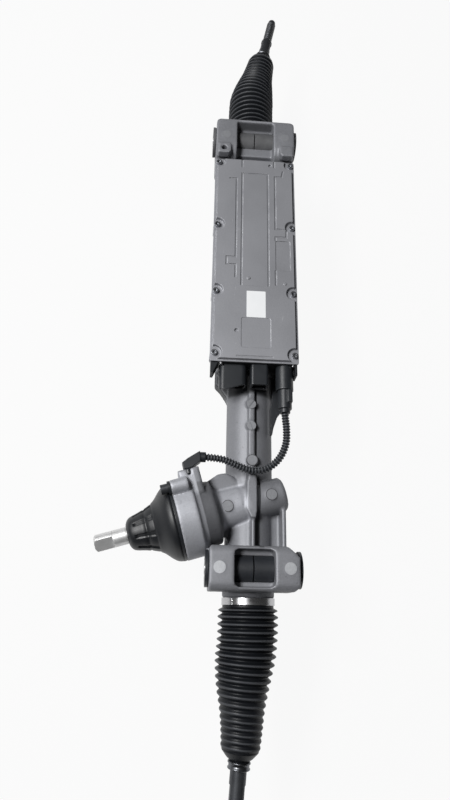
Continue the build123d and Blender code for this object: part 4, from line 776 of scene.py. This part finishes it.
def bellows_tree(folds):
    """Tree that makes a section of bellows with that rule of folds."""
    tree, graph, start, identifiers = geometry_tree(
        "Bellows section",
        Vector=["Ball", "Direction", "Side"],
        Float=["Start", "Finish", "Bow"],
        Int=["Rings", "Around"],
        Material=["Material"],
    )
    around, rings, first, last, bow = [
        given(graph, start, title) for title in ("Around", "Rings", "Start", "Finish", "Bow")
    ]
    ball, rod, side = [
        Arrow(graph, graph.find(start.outputs, title)) for title in ("Ball", "Direction", "Side")
    ]
    cylinder = graph.add(
        "GeometryNodeMeshCylinder",
        {"fill_type": "NONE"},
        {"Vertices": around, "Side Segments": rings, "Radius": 1.0, "Depth": 1.0},
    )
    position = graph.add("GeometryNodeInputPosition")
    parts = graph.add("ShaderNodeSeparateXYZ", inputs={0: position.outputs[0]})
    across, over, height = [Number(graph, socket) for socket in parts.outputs]
    distance = first + (height + 0.5) * (last - first)
    measure = distance / MM
    span = (folds["start"], FOLD_END)
    valley = graph.curve(measure, folds["valleys"], *span, 40)
    depth = graph.curve(measure, folds["depths"], *span, 6)
    counts = [(place, count + 2) for place, count in folds["counts"]]
    turn = graph.curve(measure, counts, *span, 24) - 2
    wave = (0.5 - (turn * (2 * math.pi)).cosine() * 0.5) ** 0.9
    radius = (valley + depth * wave) * MM
    reach = (distance * distance + BEND_WIDTH**2).root()
    past = (distance + reach) / 2
    lean = (distance / reach + 1) / 2
    bulge = graph.step(measure, -30, 22) * (1 - graph.step(measure, 26, 84)) * bow
    shift = graph.arrow("ShaderNodeCombineXYZ", inputs={"Y": bulge})
    centre = ball + side * (distance - past) + rod * past + shift
    forward = (side * (1 - lean) + rod * lean).unit()
    beside = forward.cross((0, 0, 1)).unit()
    above = beside.cross(forward)
    surface = centre + beside * (across * radius) + above * (over * radius)
    # The crest attribute carries the dust and painted highlight of the folds' crests
    marked = graph.add(
        "GeometryNodeStoreNamedAttribute",
        {"data_type": "FLOAT", "domain": "POINT"},
        {"Geometry": cylinder.outputs[0], "Name": "crest", "Value": wave * graph.step(depth, 0, 1.2)},
    )
    inputs = {"Geometry": marked.outputs[0], "Position": surface}
    moved = graph.add("GeometryNodeSetPosition", inputs=inputs)
    close_tree(graph, moved.outputs[0], graph.find(start.outputs, "Material"))
    return tree, identifiers


def rest_line(end, measure):
    """Point on a bellows' centre line at rest, at that many millimetres from the ball's centre."""
    distance = measure * MM
    reach = math.sqrt(distance**2 + BEND_WIDTH**2)
    past = (distance + reach) / 2
    return end.ball + Vector((end.side, 0, 0)) * (distance - past) + end.rod * past


class RACK_OT_bellows(bpy.types.Operator):
    """Makes both rubber bellows, each in three sections along the rack line and on along the tie rod"""

    bl_idname = "steering_rack.bellows"
    bl_label = "Bellows"

    def execute(self, context):
        sizes = context.scene.rack_sizes
        for end_name, end in ENDS.items():
            folds = FOLD_RULES[end_name]
            tree, identifiers = bellows_tree(folds)
            bodies = ["housing", "rack", end_name + "_seat", end_name + "_rod"]
            sections = [
                ("housing", folds["start"], SEAT_START),
                ("seat", SEAT_START, SEAT_END),
                ("rod", SEAT_END, FOLD_END),
            ]
            for number, (part, start, finish) in enumerate(sections):
                values = {
                    "Ball": end.ball,
                    "Direction": end.rod,
                    "Side": (end.side, 0, 0),
                    "Start": start * MM,
                    "Finish": finish * MM,
                    "Rings": round((finish - start) * RINGS_PER_MM),
                    "Around": sizes.bellows_around,
                    "Bow": end.bow,
                    "Material": finishes["bellows"],
                }
                piece = grown(f"{end_name}_bellows_{part}", tree, identifiers, values)
                tidy_normals(piece.data)
                shade_smooth(piece.data)
                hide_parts(end_name + "_bellows")
                blend_from = rest_line(end, CUFF_BLEND if part == "housing" else start)
                blend_to = rest_line(end, ROD_BLEND if part == "rod" else finish)
                bodies[number + 1]
                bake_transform(piece)
        return {"FINISHED"}


# Band clamps of the bellows

BAND_WIDTH = 7.8
BAND_RADIUS = 28.9
BAND_THICKNESS = 1.0
BAND_CHAMFER = 0.35
BAND_PLACES = {"lower": 55.65, "upper": 66.65}
BAND_PROFILE = [
    (-BAND_WIDTH / 2, BAND_RADIUS),
    (-BAND_WIDTH / 2, BAND_RADIUS + BAND_THICKNESS - 0.25),
    (BAND_CHAMFER - BAND_WIDTH / 2, BAND_RADIUS + BAND_THICKNESS),
    (BAND_WIDTH / 2 - BAND_CHAMFER, BAND_RADIUS + BAND_THICKNESS),
    (BAND_WIDTH / 2, BAND_RADIUS + BAND_THICKNESS - 0.25),
    (BAND_WIDTH / 2, BAND_RADIUS),
]
CRIMP_PROFILE = [
    (101.0, 10.3), (101.0, 11.7), (101.6, 12.1), (102.5, 12.1), (103.0, 11.1), (106.4, 11.1), (106.9, 12.0),
    (107.7, 12.0), (108.2, 11.6), (108.2, 10.3),
]


def in_metres(profile):
    """Distances and radii of a profile in metres."""
    return [(distance * MM, radius * MM) for distance, radius in profile]


def band_step(distance, radius, angle):
    """Radius of a band: its end overlaps, with a step before it, and an ear is pinched at the back."""
    if radius <= (BAND_RADIUS + 0.3) * MM:
        return radius
    turn = (math.degrees(angle) + 180) % 360 - 180
    if -39 < turn < 70:
        return radius + 0.75 * MM
    if -43 < turn <= -39:
        return radius - 0.5 * MM
    if 165 < turn < 169 or 173 < turn < 177:
        return radius + 4.6 * MM
    return radius


class RACK_OT_clamps(bpy.types.Operator):
    """Makes both bright band clamps, each with the step where its end overlaps and a pinched ear"""

    bl_idname = "steering_rack.clamps"
    bl_label = "Band clamps"

    def execute(self, context):
        along = Vector((1, 0, 0))
        up = Vector((0, 0, 1))
        for end_name, end in ENDS.items():
            middle = end.ball - along * (end.side * BAND_PLACES[end_name] * MM)
            profile = in_metres(BAND_PROFILE)
            band = turned_shell(end_name + "_band_clamp", middle, along, up, profile, 360, band_step)
            band.data.materials.append(finishes["band"])
            shade_smooth(band.data, False)
            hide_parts("bellows_clamps")
            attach(band, "housing")

            across = end.rod.cross(up).normalized().cross(end.rod)
            profile = in_metres(CRIMP_PROFILE)
            crimp = turned_shell(end_name + "_crimp_ring", end.ball, end.rod, across, profile, 96)
            crimp.data.materials.append(finishes["crimp"])
            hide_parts(end_name + "_small_clamp")
            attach(crimp, end_name + "_rod")
        return {"FINISHED"}


# Castings: the solids' own shape with cast edges


WELD_DISTANCE = 0.002 * MM


def softened(name, node, finish, voxel, rounds, limit):
    """Copy of a CAD node with rounded edges and corners, thinned to at most that many triangles."""
    mesh = frame["nodes"][node].data.copy()
    form = bmesh.new()
    form.from_mesh(mesh)
    bmesh.ops.remove_doubles(form, verts=form.verts, dist=WELD_DISTANCE)
    form.to_mesh(mesh)
    form.free()
    rough = new_object(name + " rough", mesh)
    remesh = rough.modifiers.new("Grid", "REMESH")
    remesh.mode = "VOXEL"
    remesh.voxel_size = voxel
    remesh.use_smooth_shade = True
    smooth = rough.modifiers.new("Rounding", "SMOOTH")
    smooth.factor = 0.5
    smooth.iterations = rounds
    fine = plain_mesh(rough, name + " fine")
    bpy.data.objects.remove(rough)
    triangles = sum(len(face.vertices) - 2 for face in fine.data.polygons)
    thin = fine.modifiers.new("Thinning", "DECIMATE")
    thin.ratio = min(1.0, limit / triangles)
    piece = plain_mesh(fine, name)
    bpy.data.objects.remove(fine)
    set_material(piece.data, finish)
    shade_smooth(piece.data)
    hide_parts(node)
    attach(piece, "housing")


CASTINGS = {"pinion_side_casting": "rack_housing", "motor_side_casting": "drive_housing"}


class RACK_OT_castings(bpy.types.Operator):
    """Gives both housing castings rounded cast edges"""

    bl_idname = "steering_rack.castings"
    bl_label = "Castings"

    def execute(self, context):
        sizes = context.scene.rack_sizes
        for name, node in CASTINGS.items():
            softened(
                name,
                node,
                finishes["casting"],
                sizes.casting_voxel,
                sizes.casting_rounds,
                sizes.casting_triangles,
            )
        return {"FINISHED"}


MOULDED_NODES = ("power_connector", "signal_connector", "sensor_socket", "conduit_plug", "elbow_plug")


class RACK_OT_mouldings(bpy.types.Operator):
    """Gives the black connectors and plugs the rounded edges of moulded plastic"""

    bl_idname = "steering_rack.mouldings"
    bl_label = "Mouldings"

    def execute(self, context):
        sizes = context.scene.rack_sizes
        for node in MOULDED_NODES:
            softened(
                node + "_moulding",
                node,
                finishes["plastic"],
                sizes.moulding_voxel,
                sizes.moulding_rounds,
                sizes.moulding_triangles,
            )
        return {"FINISHED"}


# Boot of the torque sensor

BOOT_OUTER = [
    (89.0, 43.8), (92.0, 43.3), (95.0, 42.3), (97.0, 41.0), (99.0, 39.4), (101.0, 37.6), (103.0, 35.4),
    (105.5, 32.6), (108.0, 30.2), (110.0, 28.7), (111.2, 28.0), (111.8, 27.0), (113.0, 26.6), (114.0, 26.3),
    (117.0, 25.0), (120.0, 23.8), (120.6, 23.0), (122.4, 22.6), (123.0, 22.9), (127.0, 21.6), (131.0, 20.5),
    (134.0, 19.8), (135.0, 19.5), (137.0, 18.9), (139.4, 17.9), (141.2, 16.3), (142.6, 14.2), (143.6, 11.9),
    (144.0, 10.3), (144.0, 9.9),
]
BOOT_INNER = [
    (141.6, 9.9), (139.0, 13.0), (130.0, 16.4), (120.0, 19.6), (111.0, 23.6), (104.0, 31.0), (98.0, 36.6),
    (89.0, 39.8),
]
COLLAR_START = 112.4
COLLAR_END = 134.6
COLLAR_RADIUS = 19.55
SLOT_HALF = math.radians(6.5)
SLOT_TURN = 0.35


class RACK_OT_boot(bpy.types.Operator):
    """Makes the torque sensor's rubber boot with its slotted collar"""

    bl_idname = "steering_rack.boot"
    bl_label = "Sensor boot"

    def execute(self, context):
        sizes = context.scene.rack_sizes
        step = 2 * math.pi / sizes.boot_slots

        def slotted(distance, radius, angle):
            inside = COLLAR_START < distance / MM < COLLAR_END and radius / MM > COLLAR_RADIUS
            away = abs((angle - SLOT_TURN + step / 2) % step - step / 2)
            return radius - sizes.boot_slot_depth if inside and away < SLOT_HALF else radius

        profile = in_metres(BOOT_OUTER + BOOT_INNER)
        up = Vector((0, 0, 1))
        boot = turned_shell("sensor_boot_moulding", PINION_CENTRE, PINION_AXIS, up, profile, 216, slotted)
        boot.data.materials.append(finishes["rubber"])
        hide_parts("sensor_boot")
        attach(boot, "housing")
        return {"FINISHED"}


# Conduit


def conduit_tree():
    """Tree that makes a corrugated tube along a curve; its crests are marked for the dust and painted
    highlight.
    """
    tree, graph, start, identifiers = geometry_tree(
        "Corrugated conduit", Float=["Radius", "Ridge", "Spacing"], Material=["Material"]
    )
    radius, ridge, spacing = [given(graph, start, title) for title in ("Radius", "Ridge", "Spacing")]
    inputs = {"Curve": start.outputs[0], "Length": spacing / 9}
    line = graph.add("GeometryNodeResampleCurve", {"mode": "LENGTH"}, inputs)
    length = graph.number("GeometryNodeSplineParameter", output="Length")
    wave = ((length * (2 * math.pi) / spacing).cosine() * 0.5 + 0.5) ** 1.3
    inputs = {"Curve": line.outputs[0], "Radius": radius - ridge * wave}
    sized = graph.add("GeometryNodeSetCurveRadius", inputs=inputs)
    ring = graph.add("GeometryNodeCurvePrimitiveCircle", inputs={"Resolution": 22, "Radius": 1.0})
    marked = graph.add(
        "GeometryNodeStoreNamedAttribute",
        {"data_type": "FLOAT", "domain": "POINT"},
        {"Geometry": sized.outputs[0], "Name": "crest", "Value": 1 - wave},
    )
    inputs = {"Curve": marked.outputs[0], "Profile Curve": ring.outputs[0], "Fill Caps": True}
    tube = graph.add("GeometryNodeCurveToMesh", inputs=inputs)
    if "Scale" in tube.inputs:
        graph.feed(tube.inputs["Scale"], graph.number("GeometryNodeInputRadius"))
    close_tree(graph, tube.outputs[0], graph.find(start.outputs, "Material"))
    return tree, identifiers


class RACK_OT_conduit(bpy.types.Operator):
    """Makes the corrugated conduit between the control unit and the torque sensor"""

    bl_idname = "steering_rack.conduit"
    bl_label = "Conduit"

    def execute(self, context):
        sizes = context.scene.rack_sizes
        curve = bpy.data.curves.new("conduit line", "CURVE")
        curve.dimensions = "3D"
        spline = curve.splines.new("NURBS")
        spline.points.add(len(CONDUIT_ROUTE) - 1)
        for point, place in zip(spline.points, CONDUIT_ROUTE):
            point.co = (place[0] * MM, place[1] * MM, place[2] * MM, 1)
        spline.order_u = 3
        spline.use_endpoint_u = True
        spline.resolution_u = 24
        holder = new_object("conduit line", curve)
        bare = plain_mesh(holder, "conduit path")
        bpy.data.objects.remove(bare)
        tree, identifiers = conduit_tree()
        values = {
            "Radius": sizes.conduit_radius,
            "Ridge": sizes.conduit_ridge,
            "Spacing": sizes.conduit_pitch,
            "Material": finishes["conduit"],
        }
        conduit = grown("corrugated_conduit", tree, identifiers, values, holder)
        tidy_normals(conduit.data)
        shade_smooth(conduit.data)
        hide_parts("sensor_conduit")
        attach(conduit, "housing")
        return {"FINISHED"}


# Ejector marks on the castings

# Round marks: the points of the castings' surface that they stand on, their radius and finish
ROUND_MARKS = {
    "lower_bracket_marks": ([(0, 37, 25.0), (0, -37, 25.0)], 6.3, "spot"),
    "upper_bracket_marks": ([(569, 40, 25.0), (569, -40, 25.0)], 6.3, "mark"),
    "barrel_marks": ([(123, -0.5, -10.8), (67.9, 27.4, -4.6), (82.6, -22.4, -5.6)], 6.0, "mark"),
}
MARK_DEPTH = 2.6
MARK_RISE = 0.3

# Slotted marks on the neck: x, y and the slot's angle in degrees
SLOTTED_MARKS = [(192, 0.5, -35), (165, 0.5, 20)]
SLOTTED_MARK_BASE = -11.0
SLOTTED_MARK_RADIUS = 5.4
SLOT_WIDTH = 1.1
SLOTTED_MARK_HEIGHT = 0.9


def slotted_disc(name, centre, radius, gap, height, turn):
    """Low disc in two halves, with a slot between them at that angle."""
    form = bmesh.new()
    rise = math.asin(gap / 2 / radius)
    for half in (0, math.pi):
        arc = [half + rise + (math.pi - 2 * rise) * number / 24 for number in range(25)]
        corners = [form.verts.new((radius * math.cos(angle), radius * math.sin(angle), 0)) for angle in arc]
        bottom = form.faces.new(corners)
        raised = bmesh.ops.extrude_face_region(form, geom=[bottom])
        top = [item for item in raised["geom"] if isinstance(item, bmesh.types.BMVert)]
        bmesh.ops.translate(form, verts=top, vec=(0, 0, height))
    bmesh.ops.recalc_face_normals(form, faces=form.faces)
    bmesh.ops.rotate(form, verts=form.verts, cent=(0, 0, 0), matrix=Matrix.Rotation(turn, 3, "Z"))
    bmesh.ops.translate(form, verts=form.verts, vec=centre)
    mesh = bpy.data.meshes.new(name)
    form.to_mesh(mesh)
    form.free()
    return new_object(name, mesh)


def spots_tree():
    """Tree that puts a disc with a smaller one on top and a ring of painted shade round it at each point.
    """
    tree, graph, start, identifiers = geometry_tree(
        "Ejector marks", Float=["Radius", "Height"], Material=["Material", "Shade ring material"]
    )
    radius, height = [given(graph, start, title) for title in ("Radius", "Height")]
    together = graph.add("GeometryNodeJoinGeometry")
    layers = [
        # Painted shade: a near-black ring round each mark stands in for the shade in the groove round it
        (radius + 0.7 * MM, height - 0.7 * MM, "Shade ring material"),
        (radius, height, "Material"),
        (radius * 0.86, height + 0.3 * MM, "Material"),
    ]
    for reach, depth, material in layers:
        inputs = {"Vertices": 40, "Radius": reach, "Depth": depth}
        disc = graph.add("GeometryNodeMeshCylinder", {"fill_type": "NGON"}, inputs)
        inputs = {"Geometry": disc.outputs[0], "Material": graph.find(start.outputs, material)}
        coated = graph.add("GeometryNodeSetMaterial", inputs=inputs)
        graph.tree.links.new(coated.outputs[0], together.inputs[0])
    inputs = {"Points": start.outputs[0], "Instance": together.outputs[0]}
    placed = graph.add("GeometryNodeInstanceOnPoints", inputs=inputs)
    real = graph.add("GeometryNodeRealizeInstances", inputs={"Geometry": placed.outputs[0]})
    end = tree.nodes.new("NodeGroupOutput")
    graph.feed(end.inputs[0], real.outputs[0])
    return tree, identifiers


class RACK_OT_marks(bpy.types.Operator):
    """Puts the round ejector marks on the brackets and the barrel, and the slotted ones on the neck"""

    bl_idname = "steering_rack.marks"
    bl_label = "Ejector marks"

    def execute(self, context):
        tree, identifiers = spots_tree()
        middle_drop = MARK_DEPTH / 2 - MARK_RISE
        for name, (places, radius, finish) in ROUND_MARKS.items():
            points = [(x * MM, y * MM, (z - middle_drop) * MM) for x, y, z in places]
            carrier_mesh = bpy.data.meshes.new(name + " places")
            carrier_mesh.from_pydata(points, [], [])
            carrier = new_object(name + " places", carrier_mesh)
            values = {
                "Radius": radius * MM,
                "Height": MARK_DEPTH * MM,
                "Material": finishes[finish],
                "Shade ring material": finishes["mark_shade"],
            }
            marks = grown(name, tree, identifiers, values, carrier)
            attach(marks, "housing")
        for number, (x, y, turn) in enumerate(SLOTTED_MARKS):
            disc = slotted_disc(
                f"slotted_mark_{number + 1}",
                (x * MM, y * MM, SLOTTED_MARK_BASE * MM),
                SLOTTED_MARK_RADIUS * MM,
                SLOT_WIDTH * MM,
                SLOTTED_MARK_HEIGHT * MM,
                math.radians(turn),
            )
            disc.data.materials.append(finishes["mark"])
            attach(disc, "housing")
        return {"FINISHED"}


# Finishes of the CAD nodes

THREAD_START = 146 * MM
THREAD_LENGTH = 40 * MM


class RACK_OT_finishes(bpy.types.Operator):
    """Gives every CAD node its material"""

    bl_idname = "steering_rack.finishes"
    bl_label = "Finishes"

    def execute(self, context):
        finishes.update(make_finishes(context.scene.rack_colours))
        slots = {part["node"]: part["material_slot"] for part in frame["record"]["subparts"]}
        chosen = {node: SLOT_FINISH[slot] for node, slot in slots.items()}
        chosen["input_shaft"] = "shaft"
        chosen["electronics_tray"] = "tray"
        for node, finish in chosen.items():
            set_material(frame["nodes"][node].data, finishes[finish])
        colour = tuple(context.scene.rack_colours.dark_steel)
        for end_name, end in ENDS.items():
            start = end.ball.dot(end.rod) + THREAD_START
            thread = (tuple(end.rod), start, start + THREAD_LENGTH)
            material = coated_steel_finish(f"Coated tie rod, {end_name}", colour, thread)
            set_material(frame["nodes"][end_name + "_tie_rod"].data, material)
        return {"FINISHED"}


# Stage

CAMERA_PLACE = Vector((-42.32, 74.11, 641.1)) * MM
CAMERA_LEAN = 20.07
CAMERA_PAN = 3.42
CAMERA_ROLL = 2.4
CAMERA_LENS = 26.0
SENSOR_HEIGHT = 36.0

FLOOR_HALF = 12.0
FLOOR_DROP = 0.5 * MM
FLOOR_TONE = 0.4
FLOOR_WHITE = 0.93
WORLD_LIGHT = 0.06
LAMP_TARGET = (0.25, 0, -0.03)
# Soft lamps: place, size and power
LAMPS = {
    "key": ((0.30, 0.95, 1.6), (0.8, 0.4), 40),
    "side": ((0.95, 1.10, 1.05), (0.8, 0.45), 6),
}


def camera_axes():
    """Right, up and forward vectors of the camera."""
    lean = math.radians(CAMERA_LEAN)
    pan = math.radians(CAMERA_PAN)
    roll = math.radians(CAMERA_ROLL)
    forward = Vector((math.sin(lean), 0, -math.cos(lean)))
    up = Vector((math.cos(lean), 0, math.sin(lean)))
    right = Vector((0, -1, 0))
    panned = forward * math.cos(pan) + right * math.sin(pan)
    panned_right = right * math.cos(pan) - forward * math.sin(pan)
    return (
        panned_right * math.cos(roll) + up * math.sin(roll),
        up * math.cos(roll) - panned_right * math.sin(roll),
        panned,
    )


def white_to_the_eye(graph, shader, amount):
    """Adds plain white for camera, glossy and transmission rays to a shader."""
    ray = graph.add("ShaderNodeLightPath")
    names = ("Is Camera Ray", "Is Glossy Ray", "Is Transmission Ray")
    camera, glossy, through = [Number(graph, ray.outputs[name]) for name in names]
    seen = camera + glossy + through
    glow = graph.add("ShaderNodeEmission", inputs={"Color": (1, 1, 1, 1), "Strength": 1.0})
    inputs = {0: graph.step(seen, 0, 1) * amount, 1: shader, 2: glow.outputs[0]}
    return graph.add("ShaderNodeMixShader", inputs=inputs).outputs[0]


def floor_material():
    """Matt floor that looks white, but gives the object only a grey floor's light."""
    material = bpy.data.materials.new("White floor")
    material.use_nodes = True
    graph = Graph(material.node_tree)
    shader = material.node_tree.nodes["Principled BSDF"]
    shader.inputs["Base Color"].default_value = (FLOOR_TONE, FLOOR_TONE, FLOOR_TONE, 1)
    shader.inputs["Roughness"].default_value = 0.9
    output = material.node_tree.nodes["Material Output"]
    graph.feed(output.inputs["Surface"], white_to_the_eye(graph, shader.outputs[0], FLOOR_WHITE))
    return material


def soft_lamp(name, place, size, power):
    """Area lamp that points at the middle of the rack."""
    lamp = bpy.data.lights.new(name, "AREA")
    lamp.shape = "RECTANGLE"
    lamp.size, lamp.size_y = size
    lamp.energy = power
    holder = new_object(name, lamp)
    holder.location = place
    holder.rotation_euler = (Vector(LAMP_TARGET) - Vector(place)).to_track_quat("-Z", "Y").to_euler()


class RACK_OT_stage(bpy.types.Operator):
    """Sets up the floor, the world, the lamps and the camera"""

    bl_idname = "steering_rack.stage"
    bl_label = "Stage"

    def execute(self, context):
        scene = context.scene
        low, high = cad_box
        centre = (low + high) / 2
        floor_mesh = bpy.data.meshes.new("floor")
        corners = [(-1, -1), (1, -1), (1, 1), (-1, 1)]
        points = [
            (centre.x + x * FLOOR_HALF, centre.y + y * FLOOR_HALF, low.z - FLOOR_DROP) for x, y in corners
        ]
        floor_mesh.from_pydata(points, [], [(0, 1, 2, 3)])
        floor = new_object("floor", floor_mesh)
        floor_mesh.materials.append(floor_material())

        world = bpy.data.worlds.new("Studio")
        world.use_nodes = True
        scene.world = world
        graph = Graph(world.node_tree)
        ray = graph.add("ShaderNodeLightPath")
        seen = Number(graph, ray.outputs["Is Camera Ray"])
        strength = WORLD_LIGHT + seen * (1 - WORLD_LIGHT)
        background = world.node_tree.nodes["Background"]
        background.inputs["Color"].default_value = (1, 1, 1, 1)
        graph.feed(background.inputs["Strength"], strength)

        for name, (place, size, power) in LAMPS.items():
            soft_lamp(name, place, size, power)

        data = bpy.data.cameras.new("camera")
        data.sensor_fit = "VERTICAL"
        data.sensor_width = SENSOR_HEIGHT
        data.sensor_height = SENSOR_HEIGHT
        data.lens = CAMERA_LENS
        data.clip_start = 0.01
        data.clip_end = 60
        camera = new_object("camera", data)
        right, up, forward = camera_axes()
        turn = Matrix((right, up, -forward)).transposed().to_4x4()
        camera.matrix_world = Matrix.Translation(CAMERA_PLACE) @ turn
        scene.camera = camera
        scene.view_settings.view_transform = "Standard"
        return {"FINISHED"}


class RACK_PT_panel(bpy.types.Panel):
    """Lists the steps that build the steering rack"""

    bl_label = "Steering rack"
    bl_idname = "RACK_PT_panel"
    bl_space_type = "VIEW_3D"
    bl_region_type = "UI"
    bl_category = "Steering rack"

    def draw(self, context):
        for operator in OPERATORS:
            self.layout.operator(operator.bl_idname)
        for settings in (context.scene.rack_sizes, context.scene.rack_colours):
            for name in settings.__annotations__:
                self.layout.prop(settings, name)


OPERATORS = (
    RACK_OT_finishes,
    RACK_OT_conduit,
    RACK_OT_stage,
    RACK_OT_bellows,
    RACK_OT_clamps,
    RACK_OT_boot,
    RACK_OT_castings,
    RACK_OT_mouldings,
    RACK_OT_marks,
)
CLASSES = (RackSizes, RackColours, *OPERATORS, RACK_PT_panel)


def register():
    for item in CLASSES:
        bpy.utils.register_class(item)
    bpy.types.Scene.rack_sizes = PointerProperty(type=RackSizes)
    bpy.types.Scene.rack_colours = PointerProperty(type=RackColours)


def unregister():
    del bpy.types.Scene.rack_colours
    del bpy.types.Scene.rack_sizes
    for item in reversed(CLASSES):
        bpy.utils.unregister_class(item)


def main():
    register()
    for operator in OPERATORS:
        group, name = operator.bl_idname.split(".")
        getattr(getattr(bpy.ops, group), name)()


if __name__ == "__main__":
    main()
